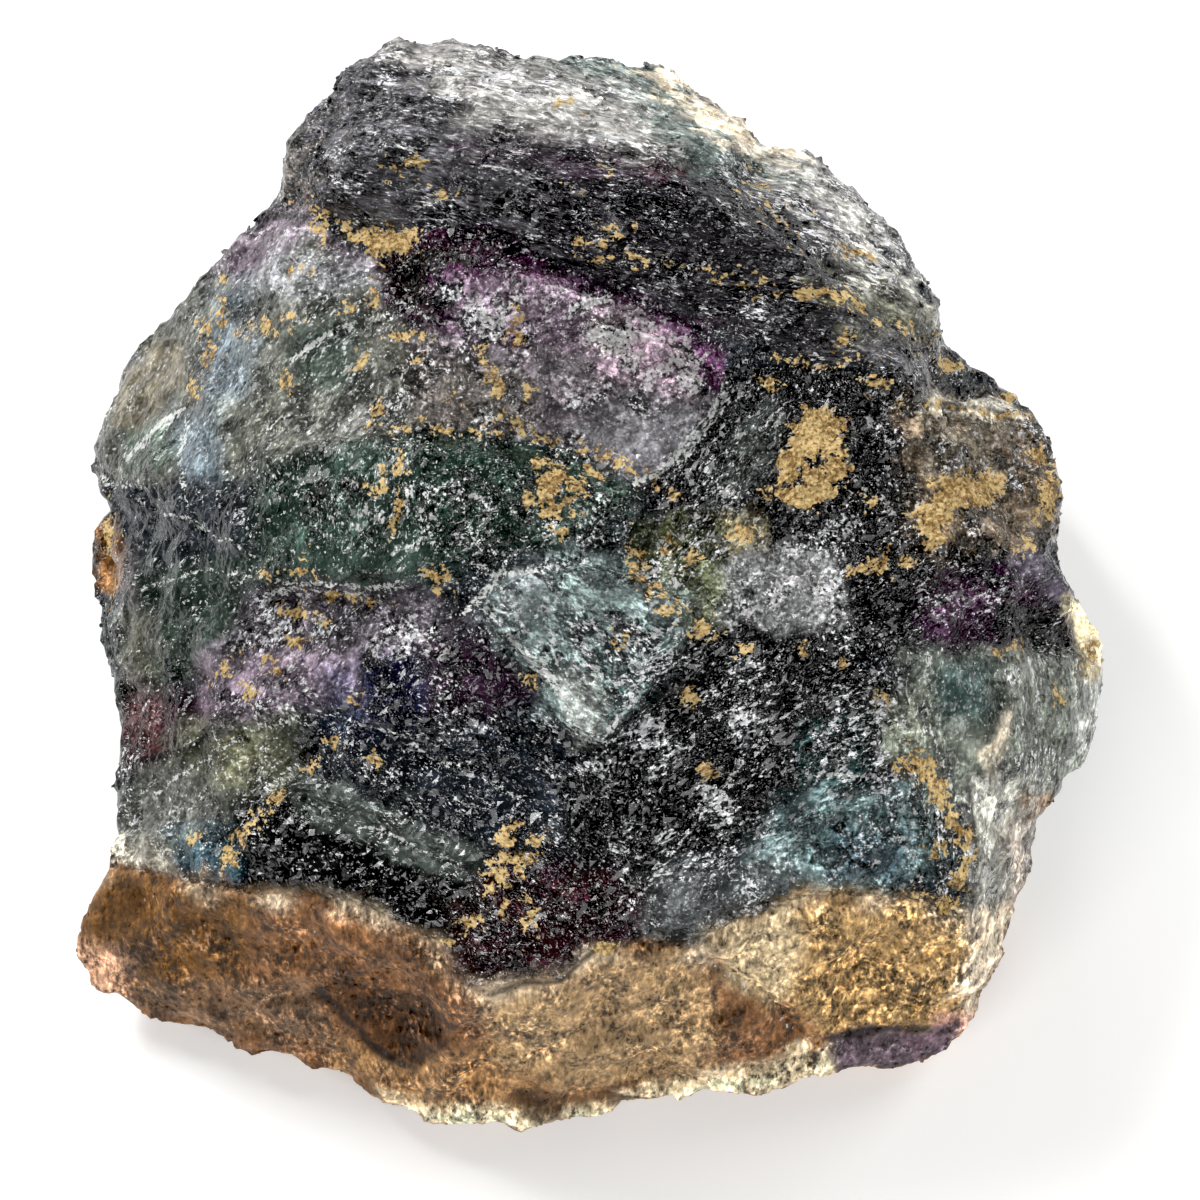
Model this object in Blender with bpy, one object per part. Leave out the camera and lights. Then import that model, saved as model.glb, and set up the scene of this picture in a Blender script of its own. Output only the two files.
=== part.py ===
"""A raw lump of banded fluorite with a calcite crust along one side, lying on its broad broken base.

The stone is set out as it is seen from above: across and up are millimetres in that view, and height
is millimetres above the ground. seen() turns such a point into a place in space. Convex blocks, each the
hull of a few corners, stand for the pieces of rock that cleaved or grew together. They are fused into one
lump, whose surface is then broken by steps, seams, pits and cleavage ledges, and whose base is cut flat.
"""

import math

import bmesh
import bpy
from mathutils import Vector, noise

MM = 0.001

# The direction that the stone is set out from.
SIGHT_ELEVATION = math.radians(72)
SIGHT_DISTANCE = 400.0
SIGHT_CENTRE = Vector((0.0, -6.0, 20.0))

# How finely the fused lump is sampled, and how many triangles it keeps.
VOXEL = 0.8
TRIANGLES_KEPT = 9600

# The base is cut flat at height 0, and the corners of the foot reach this far below it.
FOOT = -2.0
CUT_SNAP = 1e-4

# Corners of each block, as (across, up, height).
BLOCKS = {
    "core": [
        (-28, 34, 40), (-8, 44, 45), (14, 41, 45), (28, 28, 42), (35, 16, 38), (41, 4, 33), (42, -14, 28),
        (35, -29, 28), (12, -31, 32), (-4, -36, 30), (-13, -38, 29), (-24, -31, 29), (-38, -27, 25),
        (-46, -18, 18), (-44, 0, 25), (-40, 16, 30), (-36, 26, 33),
        (-46.6, 2, 11), (-46, -20, 9), (-42, -36, 6), (-8, -46, 8), (26, -43, 9), (42, -24, 9), (46, 2, 11),
        (39, 18, 12), (30, 27, 10), (16, 39, 10), (-3, 44, 9), (-25, 41, 9), (-42, 22, 9),
        (-38, 15, FOOT), (-43, -6, FOOT), (-43, -30, FOOT), (-24, -43, FOOT), (6, -45, FOOT), (33, -37, FOOT),
        (41, -12, FOOT), (34, 13, FOOT), (5, 34, FOOT), (-22, 31, FOOT),
    ],
    # The dark slab across the top of the view, with its crest towards the back.
    "crest_slab": [
        (-31.7, 40.7, 34), (-30.9, 45, 37), (-28.4, 49.2, 39), (-25, 52.8, 42), (-20.5, 55.7, 43),
        (-13, 55.6, 43), (-5, 54.4, 43), (-20, 46, 46.5), (-4, 44, 48), (8, 41, 47.5), (22, 33, 45.5),
        (30, 24, 42),
        (-29, 42, 41), (-27, 39, 41), (-12, 34, 42), (2, 29, 42), (14, 22, 41), (30, 18, 40),
        (-31, 40, 24), (-27, 43, 20), (-2, 45.6, 19), (24, 34, 20), (-28, 34, 14),
    ],
    "back_shoulder": [
        (-7, 54, 42), (0.5, 54.8, 42), (7.4, 53.4, 39), (12, 49.2, 38), (16, 46.4, 38), (0, 46, 46),
        (12, 42, 45), (-6, 46, 14), (7, 44.8, 12), (16, 39, 11),
    ],
    "right_shoulder": [
        (14, 45.2, 38), (20.8, 45, 36), (24.6, 42.2, 35), (26.3, 39.5, 36), (29.5, 36, 35), (33.3, 30.4, 34),
        (33.7, 26.4, 33), (33, 23, 34), (20, 36, 44), (28, 27, 42), (14, 38, 45),
        (18, 40, 9), (31, 29, 8), (33, 22, 7),
    ],
    # The lower half of the back: a broad buttress and a smaller cleaved step beside it.
    "back_buttress": [
        (-22, 43, 17), (-9, 47, 19), (5, 45.6, 15), (-24, 39, 5), (-7, 44, 4), (8, 41.6, 4),
        (-20, 35, FOOT), (2, 37, FOOT), (-10, 30, 12),
    ],
    "back_step": [
        (12, 43, 22), (22, 38.4, 24), (27, 33, 20), (14, 38.6, 6), (24, 33, 6), (20, 30, 26), (16, 28, 8),
    ],
    # The purple crystal that stands proud of the slab's foot, with a rounded glassy end.
    "purple_lump": [
        (-20, 33.5, 42), (-15.5, 36.6, 45.5), (-11, 36, 46.5), (-4, 31.6, 47), (4, 28, 46.6), (9, 25.4, 45.4),
        (12, 22.4, 43), (12.3, 20.4, 41), (10, 16.8, 40), (7, 13.8, 39), (4.4, 12.4, 38.6), (1, 13.4, 39),
        (-6, 17, 40.5), (-16, 18.4, 39.5), (-22, 22, 39), (-23, 29, 40),
        (-20, 32, 34), (10, 22, 34), (2, 14, 34), (-18, 18, 34),
    ],
    # The shallow recess between the slab, the purple crystal and the left flank.
    "pocket_floor": [
        (-32, 36, 36.6), (-27, 38.6, 39.4), (-20, 37.4, 41.6), (-19, 32, 41.4), (-24, 29, 39.8),
        (-31, 31, 37.4), (-30, 34, 30), (-22, 34, 30),
    ],
    "pocket_wall": [
        (-31.8, 37, 35.4), (-27, 40.6, 39.6), (-34, 33.6, 32), (-31, 39, 26), (-26, 36, 41), (-30, 30, 36),
        (-31, 35, 12), (-34, 31, 12), (-25, 41, 14),
    ],
    # The pale translucent flank down the left of the view.
    "left_flank": [
        (-31.2, 40.2, 33), (-36.4, 35.6, 28), (-39.2, 32.8, 26), (-43.2, 27.4, 23), (-47.4, 22.6, 20),
        (-50.2, 17.2, 18), (-50.9, 13, 17), (-49.8, 9.8, 17), (-30, 35, 38), (-24, 29, 40), (-26, 20, 38.5),
        (-36, 14, 33), (-42, 12, 28),
        (-33, 33, 9), (-38, 27, 6), (-45, 20, 4), (-46, 10, 3),
    ],
    "left_lower_flank": [
        (-49, 12, 17), (-49, 6.4, 17), (-48.5, -2, 18), (-48.5, -8, 18), (-47.6, -11, 18), (-47.4, -16, 16),
        (-47.2, -20, 15), (-47.8, -24.8, 15), (-40, 10, 29), (-38, -8, 28), (-38, -24, 26),
        (-45, 8, 2), (-44.6, -8, 1), (-44.6, -26, 1),
    ],
    "left_keel": [
        (-49, 9.4, 9), (-50.8, 6, 8), (-51.1, 0, 7), (-50.8, -4, 7), (-49, -9.4, 8),
        (-44, 6, 14), (-44, -8, 14), (-45, 6, 0), (-45, -6, 0),
    ],
    # The dark green bench in the middle of the view, left of centre.
    "green_bench": [
        (-34, 16, 36), (-20, 17.5, 40.2), (-8, 16, 41), (3, 12, 40.8), (8, 8, 40.2), (2, 5, 40),
        (-12, 4.5, 39.4), (-17, 3, 38.6), (-27, 1, 37), (-34, 0.6, 34), (-40, 6, 29), (-30, 10, 30),
        (0, 8, 34), (-24, 4, 30),
    ],
    # The sea-green wedge below the middle, pointing down the view.
    "teal_wedge": [
        (-12, 1, 38.8), (-10.4, 2.6, 39.8), (-6, 4, 40.4), (5, 3.4, 40.6), (9.4, -1, 39.6), (7.6, -6.4, 38),
        (0, -14.6, 35.6), (-3, -12, 36), (-10, 0, 33), (6, -2, 33), (0, -12, 31),
    ],
    # The purple grey shelf at the left below the bench, and the dark fold that crosses it.
    "purple_shelf": [
        (-38, 3, 31.6), (-30, 3.4, 34.6), (-18, 3.4, 37.4), (-12, 2, 38), (-9, -7, 36.8), (-10, -13, 35.4),
        (-24, -15, 33), (-38, -10, 29), (-41, -6, 27), (-28, -6, 26), (-14, -8, 28),
    ],
    "lower_fold": [
        (-26, -13, 33.4), (-18, -11, 35), (-8, -13, 35.8), (-2, -18, 34.8), (-4, -26, 33), (-14, -31, 31),
        (-27, -19, 31), (-20, -18, 26), (-8, -24, 26),
    ],
    # The rough dark knob right of centre and the ledge with ochre faces at the right edge.
    "middle_knob": [
        (9, 12, 40), (18, 18, 40.5), (26, 15, 39), (26, 4, 37), (20, -3, 36.8), (11, -2, 38), (7, 5, 39.6),
        (16, 12, 32), (18, 2, 30),
    ],
    "right_ledge": [
        (33, 20.2, 37), (38.6, 20.8, 33), (43, 19.7, 31), (45, 15.8, 30), (45.5, 10, 29), (44.8, 4, 28),
        (36, 3, 34), (31, 10, 37), (38, 18, 8), (43.6, 14, 6), (44.2, 3, 6),
    ],
    "ledge_back": [
        (33, 25.4, 27), (35.8, 23.8, 26), (38, 22.2, 26), (40.6, 21, 26), (42.4, 18.8, 26), (34, 18, 29),
        (32, 23, 6), (40, 17, 5), (34, 12, 8),
    ],
    "right_facet": [
        (40, 6.5, 33), (43.6, 5, 30), (46.7, 0.6, 27), (47.2, -1.4, 26), (36, -4, 33), (34, 2, 35),
        (44.6, 4, 6), (45, -3, 6),
    ],
    "cream_knob": [
        (45.6, 0.6, 20), (47.6, -1, 19), (49.6, -3.8, 18), (50.7, -7.4, 17), (44, -3, 25), (42, -8, 25),
        (44, 1, 8), (46.4, -7, 6),
    ],
    "right_flank": [
        (27, -5, 36), (34, -8, 33.5), (38.6, -10.4, 31), (46, -5, 25), (49.6, -5.4, 21), (50.8, -9, 20),
        (49.9, -12, 19), (48.6, -16, 18), (45.6, -18.4, 17), (38.6, -20, 28), (36.6, -30.4, 26), (27, -20, 31),
        (46.4, -8, 4), (43.6, -18, 3), (30, -24, 10),
    ],
    "right_lower_flank": [
        (44.6, -19.6, 15), (42.6, -25, 14), (41.1, -31, 13), (39.4, -36, 11), (37.8, -40, 9), (37.2, -42.6, 8),
        (38, -20, 27), (36.8, -31, 26), (36.6, -40, 12),
        (42, -24, 2), (37, -40, 2), (26, -36, 4), (28, -28, 20),
    ],
    # The tan calcite crust that forms the near side.
    "crust_left": [
        (-46.6, -22.4, 18), (-49.2, -24, 16), (-50.2, -29.4, 12), (-51.8, -34.4, 8), (-52.6, -37, 6.5),
        (-51.4, -39.8, 4), (-47.6, -40, 3), (-40, -23, 25), (-38, -28, 25.4), (-30, -29.6, 27.4),
        (-16, -33.6, 28.4), (-35.4, -41.2, 3), (-25, -46.8, 3), (-18, -50.4, 4),
        (-43, -37, FOOT), (-30, -40.4, FOOT), (-16, -46, FOOT),
    ],
    "crust_middle": [
        (-24.8, -48.6, 4), (-17.4, -51.9, 4.4), (-9, -52.6, 4.4), (-5.2, -53.3, 4), (3.4, -50.8, 4),
        (-22, -33, 28), (-13, -38.6, 28.6), (-6, -37.8, 29), (2, -35.4, 30), (10, -34.4, 30),
        (-22, -45, FOOT), (-8, -49.6, FOOT), (4, -47, FOOT),
    ],
    "crust_right": [
        (0, -51, 5), (9.4, -47.1, 6), (17.4, -46.9, 7), (24.4, -47, 6), (37, -42.8, 8), (4, -35, 30),
        (14, -32.2, 31), (26, -29.6, 30), (36.2, -30.4, 28), (38, -36, 12), (4, -47, FOOT), (30, -40, FOOT),
    ],
    "purple_keel": [
        (22, -47.6, 4.4), (28, -47.6, 3.4), (34, -45.8, 4), (37, -44, 5), (37.2, -42.6, 8), (28, -42, 9),
        (26, -44, 0.6), (34, -41, 0.6),
    ],
    # Lumps and a sill that stand out from the crust.
    "crust_sill": [
        (-15, -44.6, 17.4), (-4, -45.6, 17), (10, -42.6, 18), (-13, -47, 12), (8, -45.4, 12), (-2, -40, 22),
        (-6, -36, 12),
    ],
    "crust_boss_left": [
        (-44, -33, 16), (-34, -35.6, 17), (-46, -38, 8), (-34, -40.6, 9), (-40, -30.6, 21), (-38, -32, 8),
    ],
    "crust_boss_right": [
        (15, -40.6, 18), (29, -39.2, 18), (33, -40.2, 13), (14, -44, 12), (27, -43.2, 11), (22, -35.6, 24),
        (22, -36, 12),
    ],
}

# Lines along which the surface steps or is creased, as (across, up) points read from left to right.
# drop lowers the ground on the right hand of the line, fading over fade; crease cuts a groove of that depth.
SEAMS = {
    "under_slab": {
        "line": [(-28, 38), (-20, 37), (-17, 37.6), (-10, 35.6), (0, 30.8), (9, 26.4), (13.4, 22)],
        "drop": 0.4, "fade": 5, "crease": 1.3, "width": 0.9,
    },
    "ochre_pocket": {
        "line": [(-26.6, 37), (-23.6, 34.6), (-20.6, 32.8), (-19.4, 31)],
        "drop": 0.0, "fade": 4, "crease": 0.8, "width": 1.8,
    },
    "lump_end": {
        "line": [(13.4, 21), (10.6, 16.4), (6.6, 12), (2.6, 11.6), (-4, 14.4), (-10, 16.4), (-18, 17.2)],
        "drop": 0.0, "fade": 5, "crease": 1.2, "width": 1.0,
    },
    "bench_edge": {
        "line": [(-41, -7), (-34, -1), (-30, 1.4), (-20, 1.2), (-14, 3.4), (-8, 4.6), (0, 5.4), (8, 7.6)],
        "drop": 0.9, "fade": 8, "crease": 0.4, "width": 1.0,
    },
    "wedge_side": {
        "line": [(-13, -2), (-11, -8), (-6, -12), (0, -16), (8, -9), (14, -4)],
        "drop": 0.9, "fade": 7, "crease": 0.6, "width": 0.9,
    },
    "flank_edge": {
        "line": [(-48, 9), (-40, 7), (-34, 4), (-30, -1)],
        "drop": 0.8, "fade": 8, "crease": 0.4, "width": 1.0,
    },
    "shelf_edge": {
        "line": [(-46, -20), (-38, -13), (-28, -10), (-18, -14), (-8, -17)],
        "drop": 1.0, "fade": 8, "crease": 0.5, "width": 1.0,
    },
    "fold_line": {
        "line": [(-38, -25), (-32, -19), (-27, -13), (-20, -8)],
        "drop": -0.9, "fade": 8, "crease": 0.7, "width": 0.8,
    },
    "crust_line": {
        "line": [(-48, -25), (-38, -27.6), (-28, -29.6), (-20, -31.4), (-15, -35), (-11, -38.2), (-5, -37.4),
                 (1, -34.6), (10, -34.6), (16, -31), (26, -29.6), (36.4, -30.6)],
        "drop": -0.5, "fade": 4, "crease": 0.8, "width": 1.1,
    },
    "ledge_line": {
        "line": [(28, 19.4), (34, 19.6), (40, 18.8), (45.6, 18.4)],
        "drop": 0.8, "fade": 5, "crease": 1.1, "width": 0.9,
    },
    "flank_corner": {
        "line": [(24, -4), (33, -7), (38, -11), (38.4, -22), (36.6, -31), (37, -42)],
        "drop": 0.0, "fade": 5, "crease": -0.7, "width": 1.4,
    },
}
# The fall beside a seam starts over this distance from its line.
SEAM_SHOULDER = 0.6

# Hollows in the surface, as (across, up, radius, depth).
HOLLOWS = {
    "dark_pool": (3.0, -22.0, 4.6, 1.5),
    "side_pool": (9.0, -25.4, 3.4, 1.1),
    "crust_cave": (-21.0, -41.6, 5.6, 2.4),
    "crust_notch": (-46.5, -30.6, 3.6, 1.8),
    "crust_pit": (26.0, -38.6, 4.4, 1.6),
    "foot_nick": (-1.0, -51.0, 3.0, 1.2),
    "slab_scoop": (-16.0, 42.5, 5.0, 0.8),
    "knob_scoop": (21.0, 6.0, 4.4, 1.2),
}

# The planes that fluorite cleaves on, and how the ledges along each repeat: normal, spacing, height.
CLEAVAGE = [
    (Vector((0.55, 0.30, 0.78)).normalized(), 6.5, 0.85),
    (Vector((-0.62, 0.45, 0.64)).normalized(), 5.2, 0.65),
    (Vector((0.18, -0.86, 0.48)).normalized(), 7.4, 0.75),
    (Vector((0.80, -0.52, -0.30)).normalized(), 5.8, 0.5),
]
# Each ledge climbs for this share of its spacing, then breaks off.
LEDGE_CLIMB = 0.86
# How far the planes are bent, and over what length.
BEND, BEND_LENGTH = 2.4, 17.0
# The ledges are this much taller on the steep walls.
WALL_GAIN = 1.7

# Rounded lumps of the crust on the near wall: size and height.
LUMP_SIZE, LUMP_HEIGHT = 6.5, 1.5

# Roughness of the broken surface: feature size and height of each layer.
ROUGHNESS = [(14.0, 1.0), (6.0, 0.4)]
ROUGHNESS_SHIFT = Vector((3.1, 7.7, 1.9))

# The broken surface lies this far inside the blocks.
WORN = 0.3

# Sets how the cleavage planes are bent, the same on each run.
SEED = 1

STONE_COLOUR = (0.11, 0.12, 0.125, 1.0)
STONE_SHINE = 0.35


def sight_axes():
    """The view's right and up, and the direction from the stone back to the eye."""
    back = Vector((0, -math.cos(SIGHT_ELEVATION), math.sin(SIGHT_ELEVATION)))
    up = Vector((0, math.sin(SIGHT_ELEVATION), math.cos(SIGHT_ELEVATION)))
    return Vector((1, 0, 0)), up, back


RIGHT, UP, BACK = sight_axes()
EYE = SIGHT_CENTRE + BACK * SIGHT_DISTANCE


def seen(across, up, height):
    """The point at this height that is seen at (across, up)."""
    on_view = SIGHT_CENTRE + RIGHT * across + UP * up
    along = (EYE.z - height) / (EYE.z - on_view.z)
    return EYE + (on_view - EYE) * along


def view_place(point):
    """Where a point in space is seen, as (across, up)."""
    ray = point - EYE
    depth = -ray.dot(BACK)
    scale = SIGHT_DISTANCE / depth
    return ray.dot(RIGHT) * scale, ray.dot(UP) * scale


def add_block(mesh, corners):
    """Adds the hull of these corners to the mesh as a closed shell."""
    shell = bmesh.new()
    for corner in corners:
        shell.verts.new(seen(*corner))
    hull = bmesh.ops.convex_hull(shell, input=shell.verts)
    inner = [g for g in hull["geom_interior"] if isinstance(g, bmesh.types.BMVert)]
    bmesh.ops.delete(shell, geom=inner, context="VERTS")
    bmesh.ops.recalc_face_normals(shell, faces=shell.faces)
    block = bpy.data.meshes.new("block")
    shell.to_mesh(block)
    shell.free()
    mesh.from_mesh(block)
    bpy.data.meshes.remove(block)


def fused_blocks(name):
    """One object that holds every block, fused and evenly sampled."""
    shells = bmesh.new()
    for corners in BLOCKS.values():
        add_block(shells, corners)
    mesh = bpy.data.meshes.new(name)
    shells.to_mesh(mesh)
    shells.free()
    stone = bpy.data.objects.new(name, mesh)
    bpy.context.scene.collection.objects.link(stone)
    remesh = stone.modifiers.new("fuse", "REMESH")
    remesh.mode = "VOXEL"
    remesh.voxel_size = VOXEL
    settle(stone)
    return stone


def settle(stone):
    """Applies the object's modifiers."""
    graph = bpy.context.evaluated_depsgraph_get()
    done = bpy.data.meshes.new_from_object(stone.evaluated_get(graph))
    stone.modifiers.clear()
    old = stone.data
    stone.data = done
    bpy.data.meshes.remove(old)


def ramp(x):
    """0 below 0, 1 above 1, and smooth between."""
    x = min(1.0, max(0.0, x))
    return x * x * (3 - 2 * x)


def line_offset(place, line):
    """Distance from the line, and the side: positive on the right hand of its direction."""
    best, side = math.inf, 1.0
    px, py = place
    for (ax, ay), (bx, by) in zip(line, line[1:]):
        dx, dy = bx - ax, by - ay
        along = min(1.0, max(0.0, ((px - ax) * dx + (py - ay) * dy) / (dx * dx + dy * dy)))
        ox, oy = px - ax - along * dx, py - ay - along * dy
        away = math.hypot(ox, oy)
        if away < best:
            best = away
            side = 1.0 if dx * oy - dy * ox < 0 else -1.0
    return best, side


def seam_depth(place, seam):
    """How much the seam lowers the ground here, in millimetres."""
    away, side = line_offset(place, seam["line"])
    if away > seam["fade"] and away > 3 * seam["width"]:
        return 0.0
    groove = seam["crease"] * math.exp(-((away / seam["width"]) ** 2))
    fall = seam["drop"] * ramp(1 - away / seam["fade"]) if side > 0 else 0.0
    return groove + fall * ramp(away / SEAM_SHOULDER)


def hollow_depth(place, hollow):
    """How much the hollow lowers the ground here, in millimetres."""
    across, up, radius, depth = hollow
    away = math.hypot(place[0] - across, place[1] - up) / radius
    return depth * ramp(1.15 - away)


def ledges(point):
    """Height of the cleavage ledges here: a saw-tooth along each cleavage plane's normal."""
    bend = noise.noise_vector(point / BEND_LENGTH) * BEND
    total = 0.0
    for normal, spacing, height in CLEAVAGE:
        along = (point + bend).dot(normal) / spacing + 0.6 * noise.noise(point / 9.0 + normal * 7)
        tooth = along - math.floor(along)
        strength = ramp(0.5 + 1.6 * noise.noise(point / 21.0 - normal * 5))
        rise = tooth if tooth < LEDGE_CLIMB else (1 - tooth) * LEDGE_CLIMB / (1 - LEDGE_CLIMB)
        total += height * strength * (rise - LEDGE_CLIMB / 2)
    return total


def crust_lumps(point, normal):
    """Height of the rounded lumps on the near wall."""
    near_wall = ramp((-normal.y - 0.55) / 0.25)
    if near_wall == 0:
        return 0.0
    nearest = noise.voronoi(point / LUMP_SIZE)[0][0]
    return near_wall * LUMP_HEIGHT * (0.45 - nearest)


def roughness(point):
    """Height of the uneven broken surface."""
    total = 0.0
    for size, height in ROUGHNESS:
        total += height * noise.noise(point / size + ROUGHNESS_SHIFT * size)
    return total


def break_surface(stone):
    """Moves each point by the seams, hollows, ledges, lumps and roughness of the broken rock."""
    noise.seed_set(SEED)
    places = [vertex.co.copy() for vertex in stone.data.vertices]
    normals = [normal.vector.copy() for normal in stone.data.vertex_normals]
    for vertex, point, normal in zip(stone.data.vertices, places, normals):
        place = view_place(point)
        level = ramp((normal.z - 0.2) / 0.3)
        facing = ramp((normal.dot(BACK) - 0.1) / 0.2)
        sunk = level * sum(seam_depth(place, seam) for seam in SEAMS.values())
        sunk += facing * sum(hollow_depth(place, hollow) for hollow in HOLLOWS.values())
        steep = 1 - ramp((normal.z - 0.25) / 0.4)
        raised = ledges(point) * (1 + (WALL_GAIN - 1) * steep) + crust_lumps(point, normal) + roughness(point)
        vertex.co = point + normal * (raised - sunk - WORN)


def thin_out(stone):
    """Keeps the triangles that the form needs."""
    now = sum(len(face.vertices) - 2 for face in stone.data.polygons)
    thin = stone.modifiers.new("thin", "DECIMATE")
    thin.ratio = TRIANGLES_KEPT / now
    thin.use_collapse_triangulate = True
    settle(stone)


def cut_base(stone):
    """Cuts the foot off flat at height 0 and closes it."""
    mesh = bmesh.new()
    mesh.from_mesh(stone.data)
    everything = mesh.verts[:] + mesh.edges[:] + mesh.faces[:]
    cut = bmesh.ops.bisect_plane(
        mesh, geom=everything, dist=CUT_SNAP, plane_co=(0, 0, 0), plane_no=(0, 0, 1), clear_inner=True)
    rim = [g for g in cut["geom_cut"] if isinstance(g, bmesh.types.BMEdge)]
    filled = bmesh.ops.holes_fill(mesh, edges=rim)
    bmesh.ops.triangulate(mesh, faces=filled["faces"])
    bmesh.ops.recalc_face_normals(mesh, faces=mesh.faces)
    mesh.to_mesh(stone.data)
    mesh.free()


def drop_crumbs(stone):
    """Keeps the one largest piece, and leaves out chips that came loose from it."""
    mesh = bmesh.new()
    mesh.from_mesh(stone.data)
    left, pieces = set(mesh.verts), []
    while left:
        piece, edge_of_piece = set(), [left.pop()]
        while edge_of_piece:
            vertex = edge_of_piece.pop()
            piece.add(vertex)
            for edge in vertex.link_edges:
                other = edge.other_vert(vertex)
                if other in left:
                    left.remove(other)
                    edge_of_piece.append(other)
        pieces.append(piece)
    pieces.sort(key=len)
    crumbs = [vertex for piece in pieces[:-1] for vertex in piece]
    bmesh.ops.delete(mesh, geom=crumbs, context="VERTS")
    mesh.to_mesh(stone.data)
    mesh.free()


def centre_and_scale(stone):
    """Puts the origin at the middle of the box's base, and turns millimetres into metres."""
    xs = [vertex.co.x for vertex in stone.data.vertices]
    ys = [vertex.co.y for vertex in stone.data.vertices]
    middle = Vector(((min(xs) + max(xs)) / 2, (min(ys) + max(ys)) / 2, 0))
    for vertex in stone.data.vertices:
        vertex.co = (vertex.co - middle) * MM
    print("sight centre from the origin, in mm:", tuple(round(v, 3) for v in SIGHT_CENTRE - middle))
    return middle


def fluorite_material():
    """The plain dark mineral of the CAD model."""
    material = bpy.data.materials.new("banded_fluorite")
    material.use_nodes = True
    shader = material.node_tree.nodes["Principled BSDF"]
    shader.inputs["Base Color"].default_value = STONE_COLOUR
    shader.inputs["Roughness"].default_value = STONE_SHINE
    shader.inputs["Metallic"].default_value = 0.0
    return material


def clear_scene():
    """Removes what a new file starts with."""
    for old in list(bpy.data.objects):
        bpy.data.objects.remove(old)


def main():
    """Builds the stone and returns the middle of its base."""
    clear_scene()
    stone = fused_blocks("fluorite_stone")
    break_surface(stone)
    thin_out(stone)
    cut_base(stone)
    drop_crumbs(stone)
    middle = centre_and_scale(stone)
    stone.data.materials.append(fluorite_material())
    return middle


MIDDLE = main()
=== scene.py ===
# Raw fluorite: a broken lump of dark, banded crystal with a tan crust along its near side.
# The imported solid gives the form. This script breaks its surface finely, colours it and lights it.
import math

import bmesh
import bpy
import numpy as np
from mathutils import Euler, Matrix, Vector


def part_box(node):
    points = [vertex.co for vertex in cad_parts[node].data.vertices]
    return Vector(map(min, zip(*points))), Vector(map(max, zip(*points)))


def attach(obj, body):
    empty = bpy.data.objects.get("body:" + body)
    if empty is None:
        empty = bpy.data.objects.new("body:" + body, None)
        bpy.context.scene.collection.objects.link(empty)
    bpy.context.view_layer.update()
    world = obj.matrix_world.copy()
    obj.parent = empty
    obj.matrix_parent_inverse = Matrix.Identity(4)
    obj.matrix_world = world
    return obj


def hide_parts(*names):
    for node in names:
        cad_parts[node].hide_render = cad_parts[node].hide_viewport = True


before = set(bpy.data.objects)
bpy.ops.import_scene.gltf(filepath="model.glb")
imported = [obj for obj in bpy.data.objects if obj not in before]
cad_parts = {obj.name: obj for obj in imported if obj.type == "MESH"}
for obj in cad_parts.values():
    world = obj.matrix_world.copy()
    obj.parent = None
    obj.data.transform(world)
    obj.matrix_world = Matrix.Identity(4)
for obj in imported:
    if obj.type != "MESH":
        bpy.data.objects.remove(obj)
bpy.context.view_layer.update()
print("frame loaded:", sorted(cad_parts))

mm = 0.001

# camera
# Everything is laid out as it is seen from here. A place in the view is given in steps to the right
# and down from the top left corner of a view 1200 steps wide and high: a step is a tenth of a millimetre.
cameraSetup = {
    "lookAt": (0.001276, -0.002355, 0.020),
    "elevation": 72.0,
    "distance": 0.3955,
    "lens": 120.0,
    "sensor": 36.0,
}


def makeCamera(setup):
    data = bpy.data.cameras.new("photoCamera")
    data.lens = setup["lens"]
    data.sensor_width = setup["sensor"]
    data.clip_start = 0.01
    camera = bpy.data.objects.new("photoCamera", data)
    bpy.context.scene.collection.objects.link(camera)
    tilt = math.radians(90 - setup["elevation"])
    back = Vector((0, -math.sin(tilt), math.cos(tilt)))
    camera.location = Vector(setup["lookAt"]) + back * setup["distance"]
    camera.rotation_euler = Euler((tilt, 0, 0))
    bpy.context.scene.camera = camera


makeCamera(cameraSetup)
viewTilt = math.radians(cameraSetup["elevation"])
backward = np.array((0.0, -math.cos(viewTilt), math.sin(viewTilt)))
upward = np.array((0.0, math.sin(viewTilt), math.cos(viewTilt)))
eye = (np.array(cameraSetup["lookAt"]) + backward * cameraSetup["distance"]) / mm
viewMiddle, stepsPerMm = 600, 10
stepPlane = 400.0  # mm from the eye to where a millimetre spans ten steps


def viewPlace(points):
    # where points, in millimetres, are seen: steps right and down
    ray = points - eye
    scale = stepPlane / -(ray @ backward)
    return np.stack((viewMiddle + stepsPerMm * ray[:, 0] * scale,
                     viewMiddle - stepsPerMm * (ray @ upward) * scale), axis=1)


def facingEye(points, normals):
    # 1 where the surface looks straight at the eye, 0 where it turns away
    toEye = (eye - points) / np.linalg.norm(eye - points, axis=1)[:, None]
    return (normals * toEye).sum(axis=1)


# noise made from whole numbers
def scatterValue(cell, salt):
    # an even random number from -1 to 1 for each cell, the same on each run
    h = (cell[:, 0] * 374761393 + cell[:, 1] * 668265263 + cell[:, 2] * 1442695041 + salt * 974634777)
    h = h & 0xFFFFFFFF
    h = ((h ^ (h >> 15)) * 2246822519) & 0xFFFFFFFF
    h = ((h ^ (h >> 13)) * 3266489917) & 0xFFFFFFFF
    h = h ^ (h >> 16)
    return h / 2147483647.5 - 1.0


def scatterVector(cell, salt):
    return np.stack([scatterValue(cell, salt + k) for k in range(3)], axis=1)


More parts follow.
